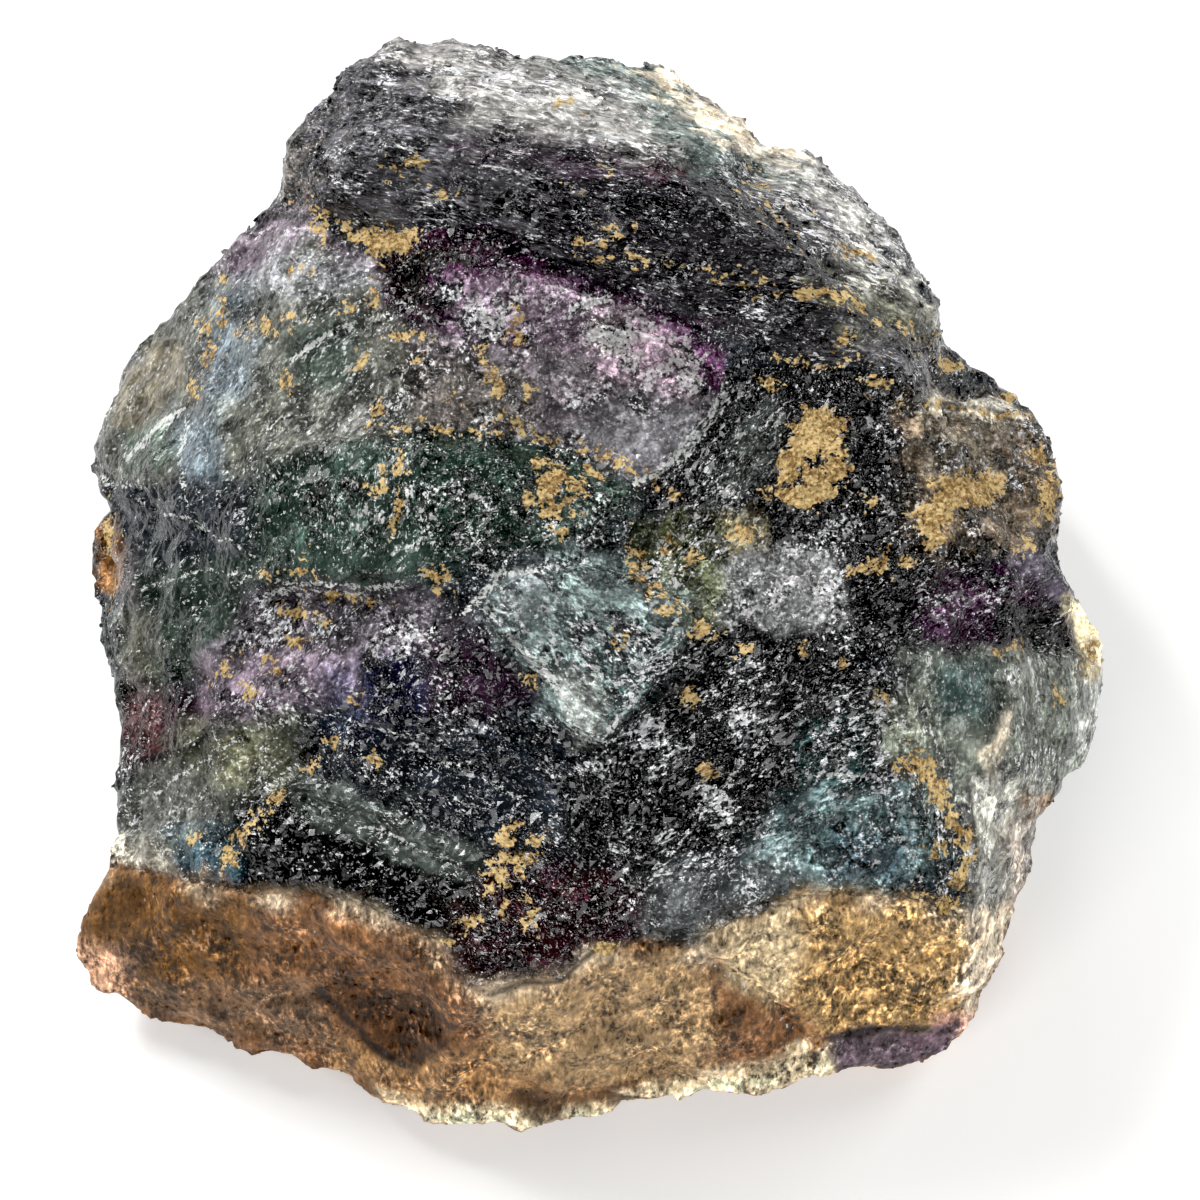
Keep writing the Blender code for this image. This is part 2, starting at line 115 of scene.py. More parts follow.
def softNoise(points, size, salt=0):
    # smooth noise from about -1 to 1, with bumps of this size
    q = points / np.asarray(size, float) + salt * 17.31
    base = np.floor(q).astype(np.int64)
    f = q - base
    s = f * f * f * (f * (f * 6 - 15) + 10)
    total = np.zeros(len(points))
    for dx in (0, 1):
        for dy in (0, 1):
            for dz in (0, 1):
                corner = base + (dx, dy, dz)
                away = f - (dx, dy, dz)
                slope = sum(scatterValue(corner, salt * 3 + k + 1) * away[:, k] for k in range(3))
                share = np.ones(len(points))
                for k, d in enumerate((dx, dy, dz)):
                    share *= s[:, k] if d else 1 - s[:, k]
                total += share * slope
    return np.clip(total * 1.7, -1, 1)


def facetHeight(points, size, salt):
    # each cell of broken rock is a small plane with a tilt of its own
    q = points / size
    base = np.floor(q).astype(np.int64)
    nearest = np.full(len(points), 9e9)
    height = np.zeros(len(points))
    for dx in (-1, 0, 1):
        for dy in (-1, 0, 1):
            for dz in (-1, 0, 1):
                cell = base + (dx, dy, dz)
                middle = cell + 0.5 + 0.45 * scatterVector(cell, salt)
                away = q - middle
                gap = (away * away).sum(axis=1)
                closer = gap < nearest
                tilt = scatterVector(cell, salt + 5)
                height = np.where(closer, (away * tilt).sum(axis=1), height)
                nearest = np.where(closer, gap, nearest)
    return height * size


def ramp(x):
    x = np.clip(x, 0, 1)
    return x * x * (3 - 2 * x)


# places on the stone
def patchDepth(place, corners):
    # how far inside the patch each place is, in tenths of a millimetre, negative outside
    corners = np.asarray(corners, float)
    low, high = corners.min(axis=0) - 60, corners.max(axis=0) + 60
    near = np.all((place > low) & (place < high), axis=1)
    depth = np.full(len(place), -60.0)
    spots = place[near]
    best = np.full(len(spots), 1e9)
    inside = np.zeros(len(spots), bool)
    for a, b in zip(corners, np.roll(corners, -1, axis=0)):
        step = b - a
        t = np.clip((spots - a) @ step / max(step @ step, 1e-9), 0, 1)
        gap = spots - a - t[:, None] * step
        best = np.minimum(best, np.hypot(gap[:, 0], gap[:, 1]))
        if a[1] != b[1]:
            crosses = (a[1] > spots[:, 1]) != (b[1] > spots[:, 1])
            inside ^= crosses & (spots[:, 0] < a[0] + step[0] * (spots[:, 1] - a[1]) / step[1])
    depth[near] = np.where(inside, best, -best)
    return np.maximum(depth, -60.0)


def lineGap(place, line):
    # distance to an open line, in tenths of a millimetre
    line = np.asarray(line, float)
    low, high = line.min(axis=0) - 60, line.max(axis=0) + 60
    near = np.all((place > low) & (place < high), axis=1)
    gapAll = np.full(len(place), 60.0)
    spots = place[near]
    best = np.full(len(spots), 60.0)
    for a, b in zip(line, line[1:]):
        step = b - a
        t = np.clip((spots - a) @ step / max(step @ step, 1e-9), 0, 1)
        gap = spots - a - t[:, None] * step
        best = np.minimum(best, np.hypot(gap[:, 0], gap[:, 1]))
    gapAll[near] = best
    return gapAll


def nearestLine(place, lines):
    # millimetres to the edge of the nearest line, negative on it
    nearest = np.full(len(place), 6.0)
    for line, width in lines:
        nearest = np.minimum(nearest, lineGap(place, line) / 10 - 0.1 * width)
    return nearest


def blotDepth(place, blot):
    # like patchDepth, for a leaning oval: x, y, half width, half height, lean in degrees
    x, y, wide, high, lean = blot
    c, s = math.cos(math.radians(lean)), math.sin(math.radians(lean))
    dx, dy = place[:, 0] - x, place[:, 1] - y
    u, v = dx * c + dy * s, -dx * s + dy * c
    reach = np.hypot(u / wide, v / high)
    return np.maximum((1 - reach) * min(wide, high), -60.0)


def blendPatches(place, patches, spread, start):
    # each patch in turn lays its amount over what is there
    values = np.full(len(place), start)
    for corners, soft, amount in patches:
        values += (amount - values) * ramp(0.5 + patchDepth(place, corners) / (spread * soft))
    return values


def strongestPatch(place, patches, spread, start):
    # the largest amount of all the patches at each place
    values = np.full(len(place), start)
    for corners, soft, amount in patches:
        values = np.maximum(values, amount * ramp(0.5 + patchDepth(place, corners) / (spread * soft)))
    return values


# Outlines that several tables share, corners in the view.
slabPatch = [(283, 215), (300, 120), (333, 60), (400, 38), (520, 50), (680, 62), (850, 190),
             (936, 300), (945, 350), (900, 370), (800, 360), (720, 335), (640, 290), (560, 262),
             (480, 228), (340, 225)]
brownCrust = [(318, 993), (337, 972), (362, 970), (422, 1000), (452, 1022), (435, 1062), (416, 1070),
              (380, 1052), (352, 1024)]
grainyCrust = [(800, 896), (905, 898), (974, 924), (968, 1035), (830, 1040), (795, 1000)]
crustOutline = [(90, 864), (130, 868), (170, 873), (217, 887), (267, 895), (310, 897), (360, 903),
                (393, 923), (437, 940), (460, 970), (490, 990), (560, 975), (593, 947), (643, 943),
                (703, 953), (710, 933), (733, 920), (773, 910), (813, 897), (850, 895), (880, 900),
                (917, 910), (972, 920), (1000, 900), (1030, 900), (1010, 1010), (960, 1090), (560, 1190),
                (350, 1150), (60, 1030), (50, 930)]
frostAndGlareCrest = [(400, 44), (530, 55), (640, 95), (650, 150), (560, 132), (487, 132), (440, 100)]
greenRim = [(600, 60), (700, 80), (790, 165), (700, 170), (620, 148)]
creamRim = [(658, 60), (680, 74), (706, 94), (742, 124), (776, 134), (800, 153), (773, 164), (747, 155),
            (703, 125), (667, 95), (643, 62)]
glassyShelf = [(305, 540), (430, 545), (428, 588), (310, 585)]
flankEdge = [(360, 290), (430, 320), (430, 420), (380, 420), (350, 340)]
greyKnot = [(722, 560), (842, 555), (846, 625), (720, 620)]
greenWedge = [(478, 602), (570, 552), (694, 600), (580, 748)]
wetGround = [(640, 652), (890, 676), (880, 800), (640, 890), (556, 800)]
rightFold = [(850, 650), (930, 650), (940, 900), (860, 880)]
violetLedge = [(1017, 543), (1047, 560), (1071, 597), (1067, 612), (1033, 588), (1006, 561)]
creamKnob = [(1062, 596), (1090, 600), (1108, 640), (1106, 684), (1084, 674), (1072, 640)]
sideWall = [(970, 776), (1045, 768), (1006, 935), (972, 925)]
darkBand = [(236, 802), (480, 855), (460, 972), (240, 892)]
plumFoot = [(443, 905), (640, 870), (600, 950), (490, 990)]

# the stone's surface
stoneShape = {
    "voxel": 0.62,  # mm between points of the broken surface
    "smoothSteps": 9,  # takes the edges of the solid's own triangles away
    "sunk": 0.10,  # mm that the surface lies inside the solid
    "facets": [(5.5, 0.085, 11), (2.6, 0.13, 31), (1.5, 0.10, 57)],  # size in mm, tilt, salt
    "steps": [((0.55, 0.30, 0.78), 2.3, 0.18), ((-0.62, 0.45, 0.64), 1.9, 0.14),
              ((0.18, -0.86, 0.48), 2.7, 0.16)],
    "grain": [(3.4, 0.16), (1.4, 0.09)],  # size in mm, height in mm
    "streak": 0.17,  # mm of relief of the long ribs on the dark slab
    "crease": 0.16,  # mm that a crease goes down for each step of its depth
}

# Where the surface is calm and glassy: place in the view, and how calm.
calmPatches = [
    ([(200, 270), (310, 215), (345, 260), (425, 330), (430, 430), (250, 480), (110, 480),
      (120, 380)], 0.55),
    ([(430, 350), (560, 345), (700, 400), (670, 462), (600, 465), (430, 420)], 0.75),
    ([(510, 580), (640, 565), (685, 610), (600, 730)], 0.5),
    (glassyShelf, 0.6),
    ([(910, 650), (1100, 660), (1095, 750), (1000, 800), (920, 780)], 0.55),
]
# Cracks and creases cut into the surface: line, width in tenths of a millimetre, steps of depth.
creases = [
    ([(703, 957), (740, 985), (773, 1010), (800, 1040)], 7, 6),
    ([(293, 357), (330, 335), (357, 320)], 6, 4),
    ([(407, 60), (453, 97), (487, 130), (560, 132), (607, 150)], 9, 5),
    ([(477, 140), (540, 150), (640, 158), (700, 170)], 9, 6),
    ([(560, 555), (548, 590), (556, 640), (567, 683)], 6, 4),
    ([(497, 573), (520, 600), (560, 690)], 6, 3),
    ([(660, 490), (640, 530), (650, 587)], 8, 5),
    ([(387, 262), (420, 285), (500, 300), (560, 330), (690, 372)], 9, 4),
    ([(300, 797), (380, 830), (470, 867)], 8, 5),
    ([(300, 770), (380, 800), (474, 845)], 7, 4),
    ([(640, 880), (700, 800), (745, 745), (790, 700)], 9, 5),
    ([(873, 690), (900, 740), (930, 800), (960, 850)], 9, 5),
    ([(803, 773), (857, 774)], 5, 4),
    ([(640, 943), (703, 940), (733, 920), (813, 897), (880, 900)], 8, 5),
    ([(110, 866), (217, 888), (310, 899), (393, 925), (460, 972)], 8, 5),
]


def mergedCopy(node):
    work = bmesh.new()
    work.from_mesh(node.data)
    bmesh.ops.remove_doubles(work, verts=work.verts, dist=1e-6)
    mesh = bpy.data.meshes.new("fluoriteSurface")
    work.to_mesh(mesh)
    work.free()
    piece = bpy.data.objects.new("fluorite_surface", mesh)
    bpy.context.scene.collection.objects.link(piece)
    return piece


def applyModifiers(piece):
    graph = bpy.context.evaluated_depsgraph_get()
    done = bpy.data.meshes.new_from_object(piece.evaluated_get(graph))
    piece.modifiers.clear()
    old = piece.data
    piece.data = done
    bpy.data.meshes.remove(old)


def readPoints(mesh):
    flat = np.empty(len(mesh.vertices) * 3)
    mesh.vertices.foreach_get("co", flat)
    return flat.reshape(-1, 3) / mm


def readNormals(mesh):
    flat = np.empty(len(mesh.vertices) * 3)
    mesh.vertex_normals.foreach_get("vector", flat)
    return flat.reshape(-1, 3)


def keepInBox(mesh, low, high, margin=0.02):
    # nothing of the finished piece reaches past the solid's own box
    points = np.clip(readPoints(mesh), low + (margin, margin, 0), high - margin)
    mesh.vertices.foreach_set("co", (points * mm).ravel())
    mesh.update()


def cleavageSteps(points, steps, salt):
    # small ledges that climb along a cleavage plane and break off
    bend = np.stack([softNoise(points, 7.0, salt + k) for k in range(3)], axis=1) * 1.1
    total = np.zeros(len(points))
    for k, (normal, spacing, height) in enumerate(steps):
        normal = np.array(normal) / np.linalg.norm(normal)
        along = (points + bend) @ normal / spacing + 0.5 * softNoise(points, 4.0, salt + 10 + k)
        tooth = along - np.floor(along)
        strength = ramp(0.45 + 1.1 * softNoise(points, 11.0, salt + 20 + k))
        rise = np.where(tooth < 0.8, tooth / 0.8, (1 - tooth) / 0.2)
        total += height * strength * (rise - 0.5)
    return total


def breakStone(piece, shape):
    mesh = piece.data
    points, normals = readPoints(mesh), readNormals(mesh)
    place = viewPlace(points)
    facing = ramp((facingEye(points, normals) - 0.05) / 0.3)
    calm = np.zeros(len(points))
    for corners, amount in calmPatches:
        calm = np.maximum(calm, amount * facing * ramp((patchDepth(place, corners) + 8) / 16))
    raised = np.zeros(len(points))
    for size, tilt, salt in shape["facets"]:
        bent = points + 0.25 * size * softNoise(points, size, salt)[:, None]
        raised += facetHeight(bent, size, salt) * tilt
    raised += cleavageSteps(points, shape["steps"], 40)
    for k, (size, height) in enumerate(shape["grain"]):
        raised += height * softNoise(points, size, 80 + k)
    slab = facing * ramp((patchDepth(place, slabPatch) + 10) / 20)
    ribs = softNoise(ribCoordinates(points), (7.0, 0.85, 0.85), 91)
    crusted = ramp(0.5 + patchDepth(place, crustOutline) / 20) * facing
    calm = np.maximum(calm, 0.55 * crusted)
    raised = raised * (1 - 0.75 * calm) * (1 - 0.35 * slab) + shape["streak"] * ribs * slab
    for line, width, depth in creases:
        gap = lineGap(place + 5 * softNoise(points, 3.0, 70)[:, None], line)
        raised -= facing * shape["crease"] * depth * np.exp(-((gap / width) ** 2))
    base = ramp((-normals[:, 2] - 0.9) / 0.08) * ramp((0.4 - points[:, 2]) / 0.3)
    points = points + normals * ((raised - shape["sunk"]) * (1 - base))[:, None]
    mesh.vertices.foreach_set("co", (points * mm).ravel())
    mesh.update()


def ribCoordinates(points):
    # the long ribs of the slab run down to the right in the view
    c, s = math.cos(math.radians(-13)), math.sin(math.radians(-13))
    along = points[:, 0] * c + points[:, 1] * s
    over = -points[:, 0] * s + points[:, 1] * c
    return np.stack((along, over, points[:, 2]), axis=1)


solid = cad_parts["fluorite_stone"]
stone = mergedCopy(solid)
lowBox, highBox = np.array(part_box("fluorite_stone")) / mm
fuse = stone.modifiers.new("fuse", "REMESH")
fuse.mode = "VOXEL"
fuse.voxel_size = stoneShape["voxel"] * mm * 1
soften = stone.modifiers.new("soften", "SMOOTH")
soften.factor = 0.5
soften.iterations = stoneShape["smoothSteps"]
applyModifiers(stone)
breakStone(stone, stoneShape)
keepInBox(stone.data, lowBox, highBox)
print("stone surface broken:", len(stone.data.vertices), "points")

# colours of the stone
# Named colours, as they look on the screen, from 0 to 255.
palette = {
    "charcoal": (70, 69, 72), "coal": (28, 27, 28), "violetBlack": (50, 38, 48), "violet": (76, 56, 74),
    "vividViolet": (76, 50, 72), "plum": (48, 24, 43), "deepPlum": (36, 14, 32),
    "maroonBlack": (58, 34, 40), "greyGreen": (112, 122, 117), "tealGrey": (95, 112, 108),
    "frostAndGlare": (168, 165, 161), "cream": (228, 213, 188), "stoneTan": (116, 109, 102),
    "shoulderFrost": (214, 213, 206), "olive": (112, 112, 86), "flankGrey": (92, 93, 87),
    "lilac": (132, 118, 130), "lilacPink": (146, 127, 138), "paleGrey": (150, 151, 155),
    "blueGrey": (120, 140, 155), "oliveGrey": (112, 106, 92), "bottle": (60, 71, 66),
    "mossGrey": (72, 86, 76), "slate": (46, 49, 52), "greenSlate": (54, 62, 57), "maroon": (95, 65, 60),
    "darkMaroon": (50, 34, 44), "rustBrown": (140, 100, 60), "lilacGrey": (98, 92, 96),
    "benchGreen": (48, 58, 53), "blackGreen": (10, 12, 11), "speckledOlive": (100, 102, 92),
    "fuzzyGrey": (145, 146, 146), "yellowGrey": (150, 142, 112), "mossMottle": (92, 97, 74),
    "violetGrey": (85, 80, 90), "knobCream": (226, 212, 176), "seaGrey": (106, 111, 102),
    "darkTeal": (50, 67, 66), "edgePale": (176, 178, 172), "greenPale": (138, 143, 128),
    "teal": (100, 119, 119), "deepBlue": (66, 88, 104), "wetBlack": (26, 28, 29), "ashGrey": (80, 82, 82),
    "wallGrey": (166, 165, 155), "wallPink": (176, 158, 144), "wedgeTeal": (98, 110, 108),
    "shelfLilac": (84, 79, 85), "inkBlue": (40, 50, 76), "indigo": (26, 24, 40),
    "grassGrey": (78, 79, 67), "strawGrey": (148, 147, 114), "slateBlack": (38, 40, 43),
    "tealBlue": (58, 86, 96), "paleTan": (170, 165, 150),
    "crustRim": (190, 174, 150), "bandGrey": (84, 90, 86),
    "crustOlive": (108, 74, 34), "crustBrown": (80, 56, 32), "pinkCream": (220, 172, 138),
    "crustPink": (120, 84, 53), "fringe": (112, 88, 66), "crustDark": (62, 38, 18),
    "ochreTan": (152, 116, 76), "beige": (166, 138, 100), "paleCream": (212, 190, 150),
    "ochreGrain": (184, 150, 100), "glow": (255, 236, 196), "rosePink": (225, 172, 157),
    "rosyPlum": (44, 30, 35), "keelGrey": (85, 75, 86), "ledgeTan": (142, 125, 104),
    "keelViolet": (106, 82, 98),
}

# Coloured patches in the order that they lie over each other: colour, corners in the view,
# softness of the edge in tenths of a millimetre, strength.
tintPatches = [
    ("charcoal", slabPatch, 8, 1.0),
    ("coal", [(480, 190), (640, 165), (760, 190), (820, 260), (845, 330), (760, 345), (660, 295),
              (560, 250), (470, 215)], 20, 0.75),
    ("greyGreen", [(552, 60), (650, 62), (700, 90), (760, 135), (793, 172), (700, 174), (620, 150),
                   (560, 130)], 12, 0.85),
    ("violetBlack", [(470, 138), (560, 130), (640, 148), (690, 158), (684, 184), (600, 174), (520, 167),
                     (475, 162)], 7, 0.6),
    ("violet", [(476, 150), (498, 148), (500, 165), (480, 166)], 8, 0.4),
    ("violet", [(552, 163), (585, 166), (580, 182), (556, 180)], 8, 0.4),
    ("maroonBlack", [(627, 155), (677, 158), (692, 182), (640, 180)], 7, 0.7),
    ("tealGrey", [(615, 82), (680, 82), (700, 110), (630, 112)], 10, 0.7),
    ("tealGrey", [(710, 150), (773, 152), (778, 180), (720, 178)], 10, 0.6),
    # the crest is partly pale frosting and partly painted glare
    ("frostAndGlare", [(400, 44), (470, 42), (530, 58), (590, 78), (640, 98), (650, 148), (600, 148), (560, 130),
               (487, 130), (453, 97)], 15, 0.9),
    ("cream", creamRim, 5, 0.95),
    ("stoneTan", [(280, 215), (284, 160), (298, 115), (320, 106), (310, 170), (306, 218)], 6, 0.7),
    ("shoulderFrost", [(765, 152), (810, 160), (850, 200), (893, 240), (926, 280), (944, 325), (905, 305),
                       (860, 262), (830, 215), (785, 185)], 14, 0.75),
    ("olive", [(850, 262), (905, 278), (937, 304), (940, 340), (890, 338), (855, 305)], 12, 0.6),
    # left flank
    ("flankGrey", [(200, 275), (260, 235), (310, 215), (345, 260), (385, 285), (425, 340), (430, 430),
                   (330, 470), (250, 480), (190, 484), (96, 484), (94, 440), (118, 380), (145, 340),
                   (180, 300)], 12, 1.0),
    ("lilac", [(208, 268), (250, 228), (302, 203), (322, 222), (280, 252), (240, 274)], 9, 0.85),
    ("violet", [(228, 257), (270, 250), (278, 268), (234, 279)], 7, 0.6),
    ("lilacPink", [(322, 233), (375, 262), (392, 284), (345, 270)], 8, 0.7),
    ("paleGrey", [(268, 254), (365, 258), (382, 284), (300, 292), (255, 288)], 10, 0.8),
    ("blueGrey", [(218, 285), (247, 280), (243, 320), (243, 400), (206, 404), (210, 345)], 16, 0.55),
    ("oliveGrey", [(116, 424), (122, 375), (150, 343), (190, 350), (176, 400), (140, 432)], 6, 0.8),
    ("bottle", [(293, 322), (357, 322), (364, 388), (310, 390), (288, 352)], 14, 0.8),
    ("speckledOlive", [(217, 400), (295, 398), (302, 482), (225, 487)], 14, 0.6),
    ("mossGrey", [(128, 432), (182, 424), (184, 460), (132, 472)], 8, 0.8),
    ("blueGrey", [(178, 422), (218, 416), (222, 484), (182, 486)], 9, 0.45),
    ("slate", [(96, 485), (250, 480), (266, 545), (255, 562), (118, 566), (94, 530)], 9, 0.95),
    ("greenSlate", [(108, 562), (255, 556), (262, 600), (235, 665), (150, 695), (118, 640)], 10, 0.95),
    ("oliveGrey", [(120, 612), (152, 612), (154, 700), (126, 702)], 12, 0.4),
    ("darkMaroon", [(150, 690), (232, 688), (230, 728), (170, 752), (140, 770), (122, 770),
                    (120, 700)], 10, 0.9),
    ("maroon", [(120, 700), (160, 695), (166, 755), (126, 770)], 12, 0.5),
    ("rustBrown", [(94, 520), (116, 520), (127, 560), (124, 592), (100, 592)], 6, 0.9),
    ("lilacGrey", [(117, 548), (137, 548), (137, 612), (118, 612)], 7, 0.6),
    # the purple crystal
    ("lilacGrey", [(400, 335), (520, 340), (640, 352), (716, 396), (706, 432), (672, 464), (642, 482),
                   (600, 467), (560, 442), (500, 427), (420, 424)], 6, 1.0),
    ("plum", [(383, 264), (402, 240), (440, 226), (490, 232), (522, 252), (600, 286), (642, 302),
              (692, 332), (722, 360), (724, 386), (702, 396), (640, 372), (560, 350), (480, 342),
              (420, 330), (385, 302)], 6, 1.0),
    # painted shade on the purple crystal's upper left side, in deep plum
    ("deepPlum", [(412, 250), (468, 246), (470, 275), (450, 300), (400, 320), (395, 285)], 9, 0.9),
    ("lilac", [(440, 278), (520, 272), (600, 298), (645, 325), (650, 352), (540, 352),
               (455, 335)], 14, 0.4),
    ("lilac", [(470, 282), (606, 292), (612, 352), (540, 342), (470, 322)], 7, 0.45),
    ("lilacPink", [(600, 294), (646, 306), (690, 338), (706, 372), (690, 400), (650, 396), (606, 374),
                   (584, 338)], 8, 0.9),
    ("oliveGrey", [(395, 345), (520, 372), (525, 430), (420, 424)], 8, 0.45),
    ("violet", [(560, 266), (600, 280), (660, 306), (722, 350), (726, 372), (700, 356), (650, 322),
                (590, 297), (556, 284)], 5, 0.9),
    ("stoneTan", [(592, 322), (628, 320), (632, 350), (600, 354)], 6, 0.7),
    ("vividViolet", [(686, 342), (720, 348), (726, 386), (702, 394), (690, 372)], 5, 0.8),
    ("paleGrey", [(570, 425), (640, 400), (700, 408), (690, 440), (645, 478), (600, 462)], 14, 0.5),
    # painted highlight along the purple crystal's lower right rim, and below it a painted shadow in coal
    ("paleGrey", [(672, 458), (690, 425), (716, 402), (719, 412), (700, 440), (684, 462)], 4, 0.7),
    ("coal", [(722, 392), (742, 400), (724, 440), (694, 478), (656, 500), (640, 492), (672, 470),
              (708, 434)], 5, 0.9),
    # the green bench
    ("benchGreen", [(250, 470), (330, 442), (420, 430), (520, 435), (560, 445), (600, 468), (640, 492),
                    (600, 545), (540, 557), (470, 562), (430, 592), (300, 585), (258, 572)], 9, 1.0),
    ("blackGreen", [(413, 440), (512, 436), (515, 560), (420, 560)], 12, 0.3),
    ("bottle", glassyShelf, 9, 0.7),
    # the rough dark ground right of the middle
    ("coal", [(655, 486), (672, 465), (712, 412), (728, 375), (800, 360), (920, 372), (1000, 395),
              (1052, 440), (1060, 525), (1000, 550), (930, 590), (905, 660), (800, 660), (700, 640),
              (660, 560)], 9, 1.0),
    ("bandGrey", [(728, 420), (770, 400), (780, 450), (740, 500), (700, 510)], 16, 0.35),
    ("ledgeTan", [(900, 396), (1000, 396), (1050, 430), (1062, 535), (1010, 552), (940, 560),
                  (912, 520)], 12, 0.4),
    ("paleTan", [(918, 398), (1000, 396), (1028, 410), (1024, 424), (960, 418), (920, 414)], 4, 0.8),
    ("fuzzyGrey", [(722, 562), (780, 548), (842, 558), (846, 622), (780, 636), (718, 612)], 8, 0.6),
    ("yellowGrey", [(718, 516), (762, 518), (764, 550), (722, 548)], 9, 0.8),
    ("mossMottle", [(638, 522), (717, 518), (724, 600), (706, 642), (650, 622), (628, 580)], 13, 0.8),
    ("oliveGrey", [(928, 424), (996, 426), (996, 480), (928, 478)], 12, 0.6),
    ("violetGrey", violetLedge, 4, 0.95),
    ("plum", [(912, 588), (960, 566), (1010, 566), (1067, 608), (1072, 650), (1000, 650),
              (925, 640)], 9, 0.75),
    ("coal", [(1000, 600), (1060, 612), (1074, 660), (1030, 650), (990, 630)], 9, 0.8),
    ("violet", [(936, 600), (984, 592), (992, 622), (944, 628)], 9, 0.6),
    ("knobCream", creamKnob, 4, 1.0),
    # right flank
    ("seaGrey", [(900, 650), (1000, 648), (1078, 652), (1106, 690), (1100, 750), (1076, 800), (1000, 806),
                 (930, 806), (900, 740)], 10, 1.0),
    ("darkTeal", [(935, 662), (992, 660), (994, 720), (938, 720)], 11, 0.85),
    ("edgePale", [(1074, 672), (1108, 680), (1106, 752), (1076, 752)], 8, 0.8),
    ("greenPale", [(876, 698), (926, 698), (928, 754), (880, 756)], 12, 0.7),
    # black wet ground and what surrounds it
    ("wetBlack", [(640, 652), (700, 622), (800, 648), (890, 676), (900, 700), (878, 716), (880, 760),
                  (870, 800), (800, 812), (720, 850), (640, 890), (560, 860), (556, 770), (600, 740),
                  (640, 700)], 10, 1.0),
    ("darkTeal", [(800, 724), (862, 724), (866, 790), (805, 790)], 10, 0.8),
    ("teal", [(790, 800), (860, 786), (925, 795), (945, 860), (905, 908), (800, 900), (720, 890),
              (760, 830)], 12, 0.9),
    ("deepBlue", [(828, 834), (902, 836), (902, 884), (832, 884)], 14, 0.55),
    ("slateBlack", [(893, 872), (945, 870), (948, 916), (895, 914)], 8, 0.8),
    ("ashGrey", [(620, 900), (690, 860), (760, 850), (830, 885), (830, 905), (733, 928), (704, 955),
                 (600, 948)], 12, 0.85),
    ("slateBlack", [(700, 845), (750, 848), (750, 882), (702, 884)], 9, 0.7),
    # the shelf and the fold at the left
    ("shelfLilac", [(240, 598), (300, 582), (412, 588), (440, 600), (470, 620), (440, 660), (330, 662),
                    (232, 664)], 9, 0.95),
    ("lilac", [(196, 655), (260, 645), (360, 655), (368, 706), (280, 714), (200, 708)], 10, 0.8),
    ("slateBlack", [(298, 726), (360, 714), (440, 700), (520, 690), (580, 740), (570, 800), (500, 862),
                    (400, 860), (300, 802)], 10, 0.95),
    ("violetBlack", [(424, 632), (500, 640), (540, 690), (500, 720), (430, 712)], 12, 0.85),
    ("inkBlue", [(322, 668), (388, 668), (384, 726), (328, 726)], 14, 0.6),
    ("indigo", [(368, 656), (425, 652), (424, 724), (370, 726)], 11, 0.85),
    ("grassGrey", [(180, 716), (296, 716), (300, 786), (262, 806), (190, 800), (160, 760)], 11, 0.9),
    ("strawGrey", [(221, 740), (249, 740), (249, 777), (223, 778)], 13, 0.45),
    ("flankGrey", [(128, 772), (190, 762), (232, 800), (230, 832), (180, 846), (118, 842)], 10, 0.9),
    ("tealBlue", [(168, 826), (238, 822), (242, 868), (180, 874)], 9, 0.6),
    ("paleTan", [(104, 836), (168, 842), (172, 874), (104, 868)], 8, 0.85),
    ("blackGreen", [(236, 802), (300, 796), (480, 855), (500, 900), (460, 972), (430, 938), (390, 922),
                    (300, 902), (240, 892)], 10, 1.0),
    ("bandGrey", [(288, 786), (312, 776), (480, 846), (478, 884), (440, 874), (300, 812)], 6, 0.85),
    ("rosyPlum", [(443, 905), (500, 862), (600, 862), (645, 882), (642, 945), (595, 950), (560, 978),
                  (490, 994), (452, 970)], 9, 0.95),
    # the sea-green wedge lies over what is beside it
    ("wedgeTeal", [(478, 602), (508, 572), (570, 552), (640, 558), (694, 600), (684, 650), (640, 700),
                   (604, 742), (572, 748), (538, 690), (498, 642)], 7, 1.0),
    ("paleGrey", [(480, 612), (520, 566), (560, 560), (530, 600), (500, 640)], 9, 0.35),
    ("edgePale", [(554, 672), (608, 676), (600, 742), (570, 748)], 7, 0.5),
    ("darkTeal", [(590, 640), (672, 622), (650, 690), (600, 732)], 12, 0.75),
    ("cream", [(1003, 710), (1012, 712), (1007, 738), (996, 750), (1000, 776), (1006, 797), (998, 798),
               (989, 780), (983, 748), (996, 736)], 4, 0.95),
    # right side wall
    ("wallGrey", [(970, 776), (1045, 768), (1034, 850), (1006, 935), (972, 925)], 9, 0.9),
    ("wallPink", [(1008, 823), (1036, 820), (1032, 902), (1004, 905)], 9, 0.6),
    ("rustBrown", [(1022, 796), (1056, 794), (1052, 818), (1024, 818)], 6, 0.7),
    # crust
    ("crustPink", [(96, 860), (217, 885), (310, 896), (393, 921), (437, 938), (462, 972), (492, 992),
                   (560, 977), (595, 949), (643, 942), (704, 955), (712, 932), (735, 919), (813, 896),
                   (880, 899), (975, 922), (1010, 905), (1000, 1000), (965, 1050), (835, 1075),
                   (560, 1130), (420, 1120), (130, 1010), (70, 960)], 6, 1.0),
    ("crustOlive", [(96, 862), (215, 884), (262, 902), (232, 982), (120, 992), (80, 940)], 12, 0.9),
    ("crustBrown", [(97, 900), (140, 898), (146, 975), (100, 975)], 10, 0.85),
    ("pinkCream", [(74, 938), (118, 945), (130, 996), (80, 990)], 8, 0.9),
    ("fringe", [(127, 982), (313, 985), (340, 1044), (260, 1040), (130, 1005)], 10, 0.8),
    ("ochreTan", [(327, 1040), (440, 1060), (527, 1030), (530, 1115), (420, 1112),
                  (340, 1075)], 10, 0.85),
    ("crustDark", brownCrust, 5, 0.8),
    ("beige", [(480, 992), (560, 976), (600, 950), (700, 955), (720, 1040), (700, 1078), (560, 1090),
               (500, 1060)], 12, 0.85),
